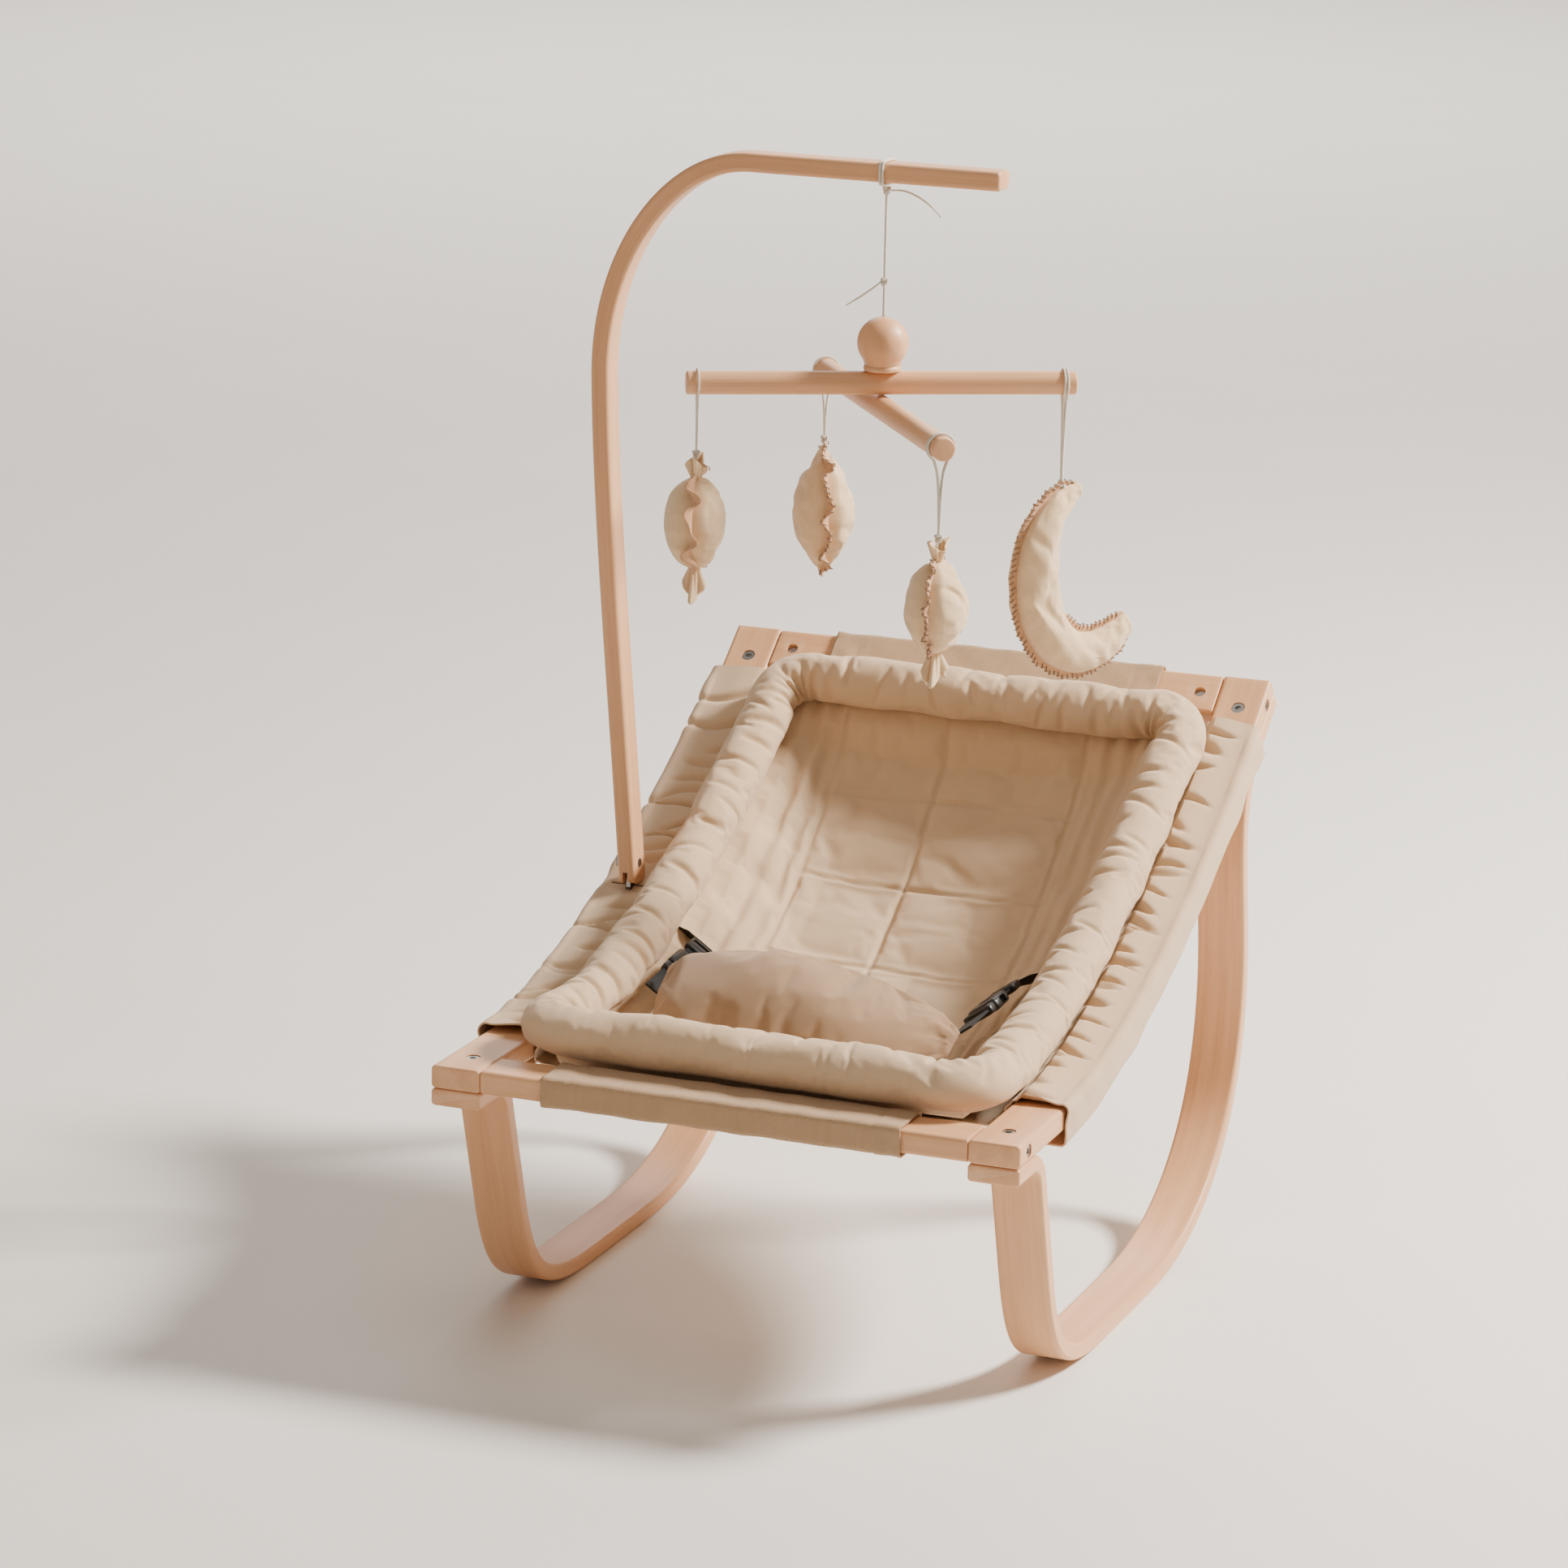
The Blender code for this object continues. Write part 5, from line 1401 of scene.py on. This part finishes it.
def ribs_along(size, first, pitch, count):
    """Grip ribs across the belt, as (size, centre, rounding)."""
    return [(size, (0, first + pitch * k, 0), 0.0003 if pitch > 0.0025 else 0.0002) for k in range(count)]


# Each moulding: piece, body, node, blocks, holes and ribs, each block as (size, centre, rounding)
# in the belt's own frame, with Y along the belt.
BELT_MOULDINGS = (
    (
        "tongue_{}_clip", "tongue_{}", "buckle_tongue_{}",
        [((0.016, 0.018, 0.003), (0, 0.05, 0), 0.0008), ((0.024, 0.009, 0.0066), (0, 0.038, 0), 0.0016)],
        [((0.006, 0.01, 0.006), (0, 0.052, 0), 0.0)],
        ribs_along((0.017, 0.0008, 0.0072), 0.0362, 0.003, 2),
    ),
    (
        "socket_{}_shell", "frame", "buckle_socket_{}",
        [((0.025, 0.023, 0.0088), (0, 0.055, 0), 0.0028)],
        [((0.019, 0.02, 0.0048), (0, 0.0505, 0), 0.0006)]
        + [((0.006, 0.009, 0.0052), (x, 0.056, 0), 0.001) for x in (0.0125, -0.0125)],
        ribs_along((0.01, 0.0007, 0.0093), 0.053, 0.0024, 4),
    ),
    (
        "adjuster_{}_slider", "frame", "strap_adjuster_{}",
        [((0.025, 0.014, 0.0058), (0, 0.085, 0), 0.0018)],
        [((0.0206, 0.03, 0.0022), (0, 0.085, 0), 0.0), ((0.02, 0.0028, 0.01), (0, 0.088, 0.004), 0.0004)],
        ribs_along((0.018, 0.0007, 0.0062), 0.0812, 0.0018, 2),
    ),
)


# ---------------------------------------------------------------- toy arch
def arch_station():
    """Distance along the rail at which the pivot bolt lies over it."""
    bolt_y = (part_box("arch_bolt")[0].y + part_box("arch_bolt")[1].y) / 2 - SHIFT[1]
    s = np.linspace(0.2, 0.4, 2001)
    y = on_rail(s, 0.0, RAIL_THICK / 2 + 0.02)[:, 1] - SHIFT[1]
    return float(s[np.argmin(np.abs(y - bolt_y))])


ARCH_STATION = arch_station()
PIVOT = on_rail(ARCH_STATION, ARCH_FOOT_X, RAIL_THICK / 2 + 0.02) - SHIFT


def arch_path():
    foot = (ARCH_FOOT_X, PIVOT[2])
    post = bezier(foot, (-0.2005, 0.4), (-0.2142, 0.53), (-0.2158, 0.625), 50)
    crook = bezier((-0.2158, 0.625), (-0.2172, 0.71), (-0.165, ARCH_TOP), (-0.106, ARCH_TOP), 60)
    return Path(post, crook[1:], np.linspace(crook[-1], (ARCH_END_X, ARCH_TOP - 0.001), 20)[1:])


def make_arch():
    path = arch_path()
    below = FOOT_RADIUS

    def place(s, a, b):
        along = s - below
        rounding = np.sqrt(np.clip(1 - (a / FOOT_RADIUS) ** 2, 0.0, 1.0))
        along = np.where(along < 0, along * rounding, along)
        flat = path.at(along) + path.normal(along) * b[..., None]
        return layout(flat[..., 0], PIVOT[1] + a, flat[..., 1])

    obj = strip_object(
        "arch_strip", path.length + below, place, ARCH_DEPTH / 2, ARCH_THICK / 2, 0.0034, seed=21, ease=0.002
    )
    centre = Vector(PIVOT + SHIFT)
    across = Matrix.Translation(centre) @ ONTO_X
    recess = Matrix.Translation(centre + Vector((ARCH_THICK / 2 - 0.0028, 0, 0)))
    tuning = Matrix.Translation(layout(-0.0235, PIVOT[1], ARCH_TOP + ARCH_THICK / 2))
    cutters = [
        (rod_bmesh(0.0091, -0.0019, 0.0019), across),
        (slab_bmesh((0.0038, 0.04, 0.024)), Matrix.Translation(centre + Vector((0, 0, -0.0174)))),
        (rod_bmesh(BOLT_HOLE, -0.02, 0.02), across),
        (rod_bmesh(0.0035, 0.0, 0.01), recess @ ONTO_X),
        (rod_bmesh(0.0011, -0.004, 0.004), tuning),
    ]
    bore(obj, cutters)
    finish_piece(obj, "arch", "wood", "toy_arch")


# ---------------------------------------------------------------- strings
TUBE_STEP = 0.0009


def tube_object(name, points, radius, sides=10, twist=0.0, plies=3, closed=False, taper=0.0):
    """A tube along points with the lobes of a twisted string. twist is in turns per metre."""
    points = np.asarray(points, float)
    line = np.vstack([points, points[:1]]) if closed else points
    run = run_along(line)
    count = max(int(run[-1] / TUBE_STEP), 8)
    at = np.linspace(0.0, run[-1], count, endpoint=not closed)
    middle = resample(at, run, line)
    if closed:
        ahead, behind = np.roll(middle, -1, axis=0), np.roll(middle, 1, axis=0)
    else:
        ahead = np.vstack([middle[1:], 2 * middle[-1:] - middle[-2:-1]])
        behind = np.vstack([2 * middle[:1] - middle[1:2], middle[:-1]])
    tangent = unit_rows(ahead - behind)
    side = np.empty_like(middle)
    guess = np.array([0.31, 0.94, 0.13])
    for k in range(count):
        guess = guess - tangent[k] * guess.dot(tangent[k])
        guess /= np.linalg.norm(guess)
        side[k] = guess
    other = np.cross(tangent, side)
    grid_s, grid_a = np.meshgrid(at, turning(sides), indexing="ij")
    lay = np.abs(np.cos(plies * (grid_a - twist * 2 * math.pi * grid_s) / 2))
    thick = radius * (0.86 + 0.14 * lay**0.5)
    if taper:
        thick = thick * (1 - taper * smoothstep(grid_s / run[-1], 0.6, 1.0))
    points = middle[:, None] + thick[..., None] * (
        np.cos(grid_a)[..., None] * side[:, None] + np.sin(grid_a)[..., None] * other[:, None]
    )
    faces, row, col = grid_faces(count, sides, closed, True)
    wrap = grid_pairs(np.r_[at, run[-1]], turning(sides + 1, closed=True) * radius)
    obj = mesh_object(name, points, faces, wrap[row, col])
    if not closed:
        with edited(obj) as bm:
            bm.faces.new([bm.verts[k] for k in range(sides)][::-1])
            bm.faces.new([bm.verts[(count - 1) * sides + k] for k in range(sides)])
    return obj


def merged(name, objects):
    """One object from several, in the first one's place."""
    bm = bmesh.new()
    for obj in objects:
        bm.from_mesh(obj.data)
    mesh = mesh_from(name, bm)
    mesh.shade_smooth()
    for obj in objects:
        discard(obj)
    return add_object(name, mesh)


def knot_points(centre, size):
    """A trefoil, which is what an overhand knot pulls up to."""
    t = turning(48)
    x = np.sin(t) + 2 * np.sin(2 * t)
    y = np.cos(t) - 2 * np.cos(2 * t)
    z = -np.sin(3 * t)
    return np.asarray(centre) + size * np.stack([x / 3, z * 0.45, y / 3], axis=1)


def flat_axes(turn):
    """Level X and Y axes turned about Z."""
    return np.array([math.cos(turn), math.sin(turn), 0.0]), np.array([-math.sin(turn), math.cos(turn), 0.0])


def centre_of(node):
    low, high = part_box(node)
    return np.array((low + high) / 2)


def make_strings():
    string = centre_of("mobile_string")
    x, y = string[0], string[1]
    low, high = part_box("arm_loop")
    arm = centre_of("arm_loop")
    half_y, half_z = (high.y - low.y) / 2 - STRING_RADIUS, (high.z - low.z) / 2 - STRING_RADIUS
    ring = round_corners(half_y, half_z, 0.0035, 8)
    loops = []
    for shift in (-0.0009, 0.0011):
        turn = np.column_stack([np.full(len(ring), x + shift), y + ring[:, 0], arm[2] + ring[:, 1]])
        loops.append(tube_object("arm_turn", turn, 0.00095, twist=420, closed=True))
    finish_piece(merged("arm_binding", loops), "arch", "cotton_string", "arm_loop")
    knot = centre_of("arm_knot")
    tie = tube_object("arm_tie", knot_points(knot, 0.0026), 0.00105, twist=420, closed=True)
    finish_piece(tie, "arch", "cotton_string", "arm_knot")

    low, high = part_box("mobile_string")
    ball_knot = (x, y, low.z + 0.024)
    line = np.column_stack([np.full(90, x), np.full(90, y), np.linspace(high.z + 0.0006, low.z, 90)])
    pieces = [
        tube_object("string_run", line, STRING_RADIUS, twist=420),
        tube_object("string_knot", knot_points(ball_knot, 0.0026), 0.001, twist=420, closed=True),
    ]
    finish_piece(merged("hanging_string", pieces), "string", "cotton_string", "mobile_string")

    make_tail("arm_tail", "arch", "arm_string_tail", knot, ARM_TAIL)
    make_tail("ball_tail", "string", "ball_string_tail", ball_knot, BALL_TAIL)


# The loose ends' routes from their knots, as (x, z).
ARM_TAIL = (
    (0.0034, 0.0), (0.011, 0.0008), (0.019, -0.0012), (0.027, -0.005), (0.034, -0.01), (0.04, -0.016)
)
BALL_TAIL = ((-0.0022, 0.0), (-0.007, -0.004), (-0.013, -0.0085), (-0.0195, -0.013), (-0.0278, -0.0184))


def make_tail(name, body, node, root, offsets):
    """A knot's loose end, which stands off the knot in its own stiffness and thins out at its tip."""
    root = np.asarray(root, float)
    rough = np.array([root + (dx, 0.0, dz) for dx, dz in offsets])
    run = run_along(rough)
    path = relax(resample(np.linspace(0.0, run[-1], 24), run, rough), 6)
    obj = tube_object(name, path, 0.0007, twist=520, plies=2, taper=0.35)
    finish_piece(obj, body, "cotton_string", node)


# ---------------------------------------------------------------- mobile
def lathe_object(name, profile, centre, sides=64, seed=0.0):
    """A turned piece from (radius, height) points, with its grain straight up."""
    profile = np.array(profile)
    angle = turning(sides)
    radius, height = profile[:, :1], profile[:, 1:]
    x, y = radius * np.cos(angle), radius * np.sin(angle)
    points = np.stack([x, y, np.broadcast_to(height, x.shape)], axis=-1)
    wrap = np.concatenate([points, points[:, :1]], axis=1)
    uv = np.stack([wrap[..., 2] + seed, wrap[..., 0]], axis=-1)
    return grid_object(name, points + np.asarray(centre), uv, closed_cols=True, depth=wrap[..., 1])


def make_hub():
    low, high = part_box("mobile_hub")
    centre = centre_of("mobile_hub")
    radius = (high.x - low.x) / 2
    middle = high.z - radius
    foot = low.z - middle
    profile = [(radius * math.sin(a), radius * math.cos(a)) for a in np.linspace(0.09, 2.28, 46)]
    collar = ((0.0126, 0.0046), (0.0122, 0.004), (0.013, 0.003), (0.0131, 0.0012), (0.0126, 0.0003))
    profile += [(r, foot + h) for r, h in (*collar, (0.012, 0.0), (0.003, 0.0), (0.0029, 0.004))]
    obj = lathe_object("hub_ball", profile, (centre[0], centre[1], middle), seed=31)
    cap_hole(obj, 64)
    shade_edges(obj, 50)
    finish_piece(obj, "mobile", "wood", "mobile_hub")


def cap_hole(obj, sides):
    """Closes a turned piece's open top with a small dimple where the string goes in."""
    with edited(obj) as bm:
        ring = [bm.verts[k] for k in range(sides)]
        tip = bm.verts.new(sum((v.co for v in ring), Vector()) / sides - Vector((0, 0, 0.0012)))
        for k in range(sides):
            bm.faces.new((ring[k], tip, ring[(k + 1) % sides]))
        bmesh.ops.recalc_face_normals(bm, faces=bm.faces)


def make_dowel(name, node, body, yaw, length, seed):
    """A dowel with eased ends: fine fibres along it and end grain on its faces."""
    centre = centre_of(node)
    along, draw = eased_ends(length, 0.0016, 60, 6)
    radii, angle = DOWEL_RADIUS - draw, turning(40)
    a, b = radii[:, None] * np.cos(angle), radii[:, None] * np.sin(angle)
    axis, side = flat_axes(yaw)
    points = centre + (along - length / 2)[:, None, None] * axis + a[..., None] * side + b[..., None] * UP
    obj = swept_object(name, points, along + seed, np.stack([a, b], axis=-1))
    bore(obj, [(rod_bmesh(PEG_HOLE, -0.02, 0.02), Matrix.Translation(centre))])
    finish_piece(obj, body, "wood", node)


# ---------------------------------------------------------------- stuffed toys
class Toy:
    """Where a toy hangs and which way it faces. Local X lies in its seam's plane and Z is up."""

    def __init__(self, name, turn):
        self.name = self.body = name
        low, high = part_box(f"{name}_string")
        self.hang_x, self.hang_y = (low.x + high.x) / 2, (low.y + high.y) / 2
        self.string_top = high.z
        self.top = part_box(f"toy_{name}")[1].z
        self.x, self.y = flat_axes(turn)

    def place(self, x, y, z):
        """Local places, z measured down from the toy's top as a negative number."""
        x, y, z = np.broadcast_arrays(*(np.asarray(v, float) for v in (x, y, z)))
        origin = np.array([self.hang_x, self.hang_y, self.top])
        return origin + x[..., None] * self.x + y[..., None] * self.y + z[..., None] * UP


def stuffed(toy, name, centre, across, half, thick, growth=0.05):
    """A two-panel stuffed shape: centre and across are rows of (x, z), half its half width in the seam's
    plane, thick its half thickness. The two panels meet at the outline, which stays sewn."""
    cols = 27
    w = np.linspace(-1.0, 1.0, cols)
    crown = np.sqrt(np.clip(1 - w**2, 0.0, 1.0)) ** 0.9
    x = centre[:, 0][:, None] + across[:, 0][:, None] * half[:, None] * w
    z = centre[:, 1][:, None] + across[:, 1][:, None] * half[:, None] * w
    y = thick[:, None] * crown
    y[0], y[-1] = 0.0, 0.0
    free = (1 - np.abs(w)) ** 0.3 * np.minimum(y / 0.004, 1.0)
    pucker = 0.0008 * wobble(len(name), x, z, low=120, high=420) * free
    run = run_along(centre)
    uv = np.stack([np.repeat(run[:, None], cols, axis=1), half[:, None] * w], axis=-1)
    obj, upper, _ = pillow_object(name, toy.place(x, y + pucker, z), toy.place(x, -y + pucker, z), uv)
    pins = np.zeros(len(obj.data.vertices))
    edge = np.zeros(upper.shape, bool)
    edge[0], edge[-1], edge[:, 0], edge[:, -1] = True, True, True, True
    pins[upper[edge]] = 1.0
    simulate(obj, pins, pressure=2.5, growth=growth, cap=0.0032, bending=0.15)
    subdivide(obj)
    finish_piece(obj, toy.body, "toy_cotton", f"toy_{toy.name}")


def flange(toy, name, line, out, width, ripple, seed, wave=0.012, start=0.0, end=1.0, stitched=True):
    """The raised seam: two edges sewn together, rippled sideways and whip-stitched over its edge."""
    line, out = np.asarray(line, float), np.asarray(out, float)
    run = run_along(line)
    at = np.arange(start * run[-1], end * run[-1], 0.001)
    base, push = resample(at, run, line), unit_rows(resample(at, run, out))
    t = (at - at[0]) / (at[-1] - at[0])
    ends = np.minimum(smoothstep(t, 0.0, 0.06), smoothstep(1 - t, 0.0, 0.06))
    phase = 2 * math.pi * at / wave
    sway = ripple * ends * (0.75 * np.sin(phase + seed) + 0.35 * np.sin(1.7 * phase + 2.1 * seed))
    wide = width * (0.45 + 0.55 * ends) * (1 + 0.14 * np.sin(2.3 * phase + seed))
    levels = np.array([-0.25, 0.1, 0.4, 0.7, 1.0])
    x = base[:, :1] + push[:, :1] * wide[:, None] * levels
    z = base[:, 1:] + push[:, 1:] * wide[:, None] * levels
    y = sway[:, None] * np.clip(levels, 0, 1) ** 1.3
    uv = grid_pairs(at, levels * width)
    edge = toy.place(x, y, z)
    obj = grid_object(name, edge, uv)
    thicken(obj, 0.0017)
    subdivide(obj)
    # Painted shade: the seam's cloth is a darker copy of the toy's.
    finish_piece(obj, toy.body, "toy_seam_painted_shade")
    if not stitched:
        return
    dashes = []
    for k in range(4, len(at) - 5, 4):
        tip = edge[k, -1]
        inward = edge[k, 2] - edge[k, 4]
        inward = inward / np.linalg.norm(inward) * 0.0026
        lean = (edge[k + 1, -1] - edge[k - 1, -1]) * 0.8
        for face in (-1, 1):
            off = toy.y * 0.00125 * face
            dashes.append((tip + off * 0.9 - inward * 0.16, tip + inward + off + lean * face))
        dashes.append((tip - inward * 0.22 - toy.y * 0.0011, tip - inward * 0.22 + toy.y * 0.0011))
    # The stitch thread's dark colour is painted shade.
    thread = dash_object(f"{name}_stitches", dashes, 0.00048, bow=0.0003)
    finish_piece(thread, toy.body, "toy_thread_painted_shade")


def toy_string(toy, strands, knot_drop, tail=0.0):
    """The string looped over the dowel's end and knotted at the toy."""
    dowel_z = toy.string_top - 2 * STRING_RADIUS - GAP - DOWEL_RADIUS
    yaw = UPPER_YAW if toy.name in ("candy", "moon") else LOWER_YAW
    axis, side = flat_axes(yaw)
    hang = np.array([toy.hang_x, toy.hang_y, dowel_z])
    reach = DOWEL_RADIUS + STRING_RADIUS + GAP
    low = np.array([toy.hang_x, toy.hang_y, toy.top - knot_drop])
    pieces = []
    yarn = {"sides": 9, "twist": 430, "plies": 2}
    for k in range(strands):
        shift = axis * 0.0011 * (k - (strands - 1) / 2) * 2
        angles = np.radians(np.linspace(-60, 240, 40))[:, None]
        ring = hang + shift + reach * (np.cos(angles) * side + np.sin(angles) * UP)
        near, far = (
            hang + shift * 0.8 + side * 0.001 * way - UP * (DOWEL_RADIUS + 0.012) for way in (1, -1)
        )
        line = smooth_line(np.vstack([low + shift * 0.3, near, ring, far, low - shift * 0.3]))
        pieces.append(tube_object("strand", line, 0.00085, **yarn))
    pieces.append(tube_object("knot", knot_points(low, 0.0027), 0.001, sides=9, twist=430, closed=True))
    if tail:
        bend = smooth_line(np.array([low, low + toy.x * 0.003 - UP * 0.002, low + toy.x * 0.004 - UP * tail]))
        pieces.append(tube_object("loose_end", bend, 0.0007, taper=0.3, **{**yarn, "sides": 8}))
    obj = merged(f"{toy.name}_hanger", pieces)
    finish_piece(obj, toy.body, "cotton_string", f"{toy.name}_string")


def smooth_line(points):
    """The line cut at its corners a few times, with its ends kept."""
    for _ in range(3):
        near, far = points[:-1] * 0.75 + points[1:] * 0.25, points[:-1] * 0.25 + points[1:] * 0.75
        middle = np.stack([near, far], axis=1).reshape(-1, 3)
        points = np.vstack([points[:1], middle, points[-1:]])
    return points


def spread_profile(keys, rows):
    """(z, half width, half thickness) rows interpolated smoothly from a few key rows."""
    keys = np.array(keys, float)
    t = np.linspace(0.0, 1.0, rows)
    at = run_along(keys[:, :1])
    return relax(resample(t, at / at[-1], keys), 4)


def upright_toy(toy, name, keys, rows=52):
    """A stuffed shape that hangs straight down. The keys are (z, half width, half thickness)."""
    table = spread_profile(keys, rows)
    centre = np.column_stack([np.zeros(rows), table[:, 0]])
    across = np.tile([1.0, 0.0], (rows, 1))
    stuffed(toy, name, centre, across, table[:, 1], table[:, 2])
    return table


def frill(toy, name, z_neck, z_tip, wide, notch, seed, fork=False):
    """A sweet's wrapper end: a gathered fan of cloth with pointed corners."""
    rows, cols = 15, 61
    t = np.linspace(0.0, 1.0, rows)[:, None]
    angle = turning(cols - 1)[None]
    grow = 0.0034 + (wide - 0.0034) * t**0.8
    flute = 1 + 0.28 * t * np.sin(5 * angle + seed) + 0.1 * np.sin(9 * angle + 2 * seed)
    x = grow * flute * np.cos(angle)
    y = grow * flute * 0.55 * np.sin(angle)
    points_up = np.abs(np.cos(angle)) ** 1.5 if fork else 0.5 + 0.5 * np.cos(2 * angle + 0.6 * seed)
    z = z_neck + (z_tip - z_neck) * t * (1 - notch * (1 - points_up))
    uv = grid_pairs(t[:, 0] * abs(z_tip - z_neck), turning(cols, closed=True) * wide)
    obj = grid_object(name, toy.place(x, y, z), uv, closed_cols=True)
    thicken(obj, 0.0012)
    subdivide(obj)
    finish_piece(obj, toy.body, "toy_cotton")


def side_seam(table, end):
    """The seam line at one side of an upright toy, and its outward directions, as (x, z) rows."""
    line = np.column_stack([end * table[:, 1], table[:, 0]])
    slope = np.gradient(line, axis=0)
    out = np.column_stack([-slope[:, 1], slope[:, 0]]) * end
    return line, out


def edge_seams(toy, table, width, ripple, seed, wave, plain_front=False):
    """A raised seam down each side of an upright toy."""
    for end, word in ((1, "front"), (-1, "back")):
        line, out = side_seam(table, end)
        stitched = end < 0 or not plain_front
        flange(toy, f"{toy.name}_seam_{word}", line, out, width, ripple, seed + end, wave, stitched=stitched)


def make_candy():
    toy = Toy("candy", math.radians(-74.0))
    table = upright_toy(toy, "candy_body", [
        (-0.015, 0.006, 0.005), (-0.02, 0.012, 0.0105), (-0.028, 0.0205, 0.017), (-0.038, 0.025, 0.02),
        (-0.05, 0.0262, 0.0208), (-0.062, 0.0235, 0.0188), (-0.072, 0.0165, 0.0135), (-0.079, 0.007, 0.006),
    ])
    frill(toy, "candy_frill_top", -0.017, 0.0000, 0.0115, 0.45, 0.7)
    frill(toy, "candy_frill_base", -0.077, -0.1025, 0.0125, 0.55, 1.9, fork=True)
    edge_seams(toy, table, 0.0076, 0.0068, 0.9, 0.023, plain_front=True)
    toy_string(toy, 1, -0.0006)


def make_bonbon():
    toy = Toy("bonbon", math.radians(-84.0))
    table = upright_toy(toy, "bonbon_body", [
        (-0.014, 0.006, 0.005), (-0.019, 0.013, 0.0105), (-0.027, 0.0205, 0.0165), (-0.037, 0.025, 0.0195),
        (-0.049, 0.0262, 0.0205), (-0.06, 0.023, 0.0185), (-0.07, 0.0165, 0.0135), (-0.077, 0.0075, 0.006),
    ])
    frill(toy, "bonbon_frill_top", -0.016, 0.0000, 0.011, 0.4, 2.6)
    frill(toy, "bonbon_frill_base", -0.075, -0.099, 0.013, 0.5, 0.4, fork=True)
    edge_seams(toy, table, 0.005, 0.0022, 2.2, 0.017)
    toy_string(toy, 2, -0.0006, tail=0.016)


def make_lemon():
    toy = Toy("lemon", math.radians(-62.0))
    table = upright_toy(toy, "lemon_body", [
        (-0.001, 0.0022, 0.0018), (-0.006, 0.0048, 0.0038), (-0.014, 0.012, 0.0098), (-0.026, 0.021, 0.0172),
        (-0.04, 0.0272, 0.0216), (-0.055, 0.0282, 0.0222), (-0.069, 0.024, 0.0192), (-0.081, 0.016, 0.013),
        (-0.09, 0.008, 0.0066), (-0.0975, 0.003, 0.0024),
    ])
    edge_seams(toy, table, 0.006, 0.0046, 1.4, 0.025)
    toy_string(toy, 1, -0.0022, tail=0.006)


MOON_LINE = (
    (0.019, -0.0065), (0.008, -0.009), (-0.0025, -0.0165), (-0.011, -0.027), (-0.0175, -0.04),
    (-0.0205, -0.057), (-0.0195, -0.077), (-0.0145, -0.096), (-0.003, -0.1125), (0.014, -0.1225),
    (0.033, -0.1225), (0.051, -0.115), (0.066, -0.104),
)
MOON_HALF = (0.004, 0.008, 0.0105, 0.013, 0.0155, 0.0172, 0.018, 0.018, 0.017, 0.015, 0.013, 0.0108, 0.006)


def make_moon():
    toy = Toy("moon", math.radians(58.0))
    rows = 84
    keys = np.array(MOON_LINE)
    run = run_along(keys)
    t = np.linspace(0.0, run[-1], rows)
    centre, half = relax(resample(t, run, keys), 10), relax(np.interp(t, run, MOON_HALF), 10)
    slope = unit_rows(np.gradient(centre, axis=0))
    across = np.column_stack([-slope[:, 1], slope[:, 0]])
    stuffed(toy, "moon_body", centre, across, half, 0.92 * half, growth=0.04)
    outer, inner = centre - across * half[:, None], centre + across * half[:, None]
    flange(toy, "moon_seam_outer", outer, -across, 0.0052, 0.0006, 0.3, wave=0.03, start=0.02, end=0.99)
    flange(toy, "moon_seam_inner", inner, across, 0.0034, 0.0005, 1.3, wave=0.03, start=0.6, end=0.99)
    toy_string(toy, 2, 0.004, tail=0.004)


# ---------------------------------------------------------------- carried-over metal and the peg
def finish_carried_nodes():
    for name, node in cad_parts.items():
        if node.hide_render:
            continue
        look = "wood" if name == "mobile_peg" else "steel"
        if len(node.data.materials) == 0:
            node.data.materials.append(MATERIALS[look])
        for slot in node.material_slots:
            slot.material = MATERIALS[look]


def make_floor():
    mesh = bpy.data.meshes.new("floor")
    corners = [(x * FLOOR_REACH, y * FLOOR_REACH, 0.0) for x, y in ((-1, -1), (1, -1), (1, 1), (-1, 1))]
    mesh.from_pydata(corners, [], [(0, 1, 2, 3)])
    mesh.materials.append(floor_material("pale_floor"))
    add_object("floor", mesh)


make_camera()
make_lights()
make_floor()
make_strings()
for side_sign, side_word in ((-1, "left"), (1, "right")):
    make_rail(side_sign, side_word)
    make_rocker(side_sign, side_word)
    make_belt(side_sign, side_word)
make_crossbar("front", BAR_DEPTH / 2)
make_crossbar("rear", RAIL_LENGTH - BAR_DEPTH / 2)
make_sling()
# The loops' darker linen is painted shade.
make_bar_loop("front", BAR_DEPTH / 2, 1, "loop_linen_painted_shade")
make_bar_loop("rear", RAIL_LENGTH - BAR_DEPTH / 2, -1, "loop_linen_painted_shade")
make_pad()
make_roll()
make_lap_cover()
make_arch()
make_hub()
make_dowel("dowel_upper", "upper_dowel", "mobile", UPPER_YAW, 0.272, 41)
make_dowel("dowel_lower", "lower_dowel", "cross", LOWER_YAW, 0.322, 43)
make_candy()
make_moon()
make_lemon()
make_bonbon()
finish_carried_nodes()
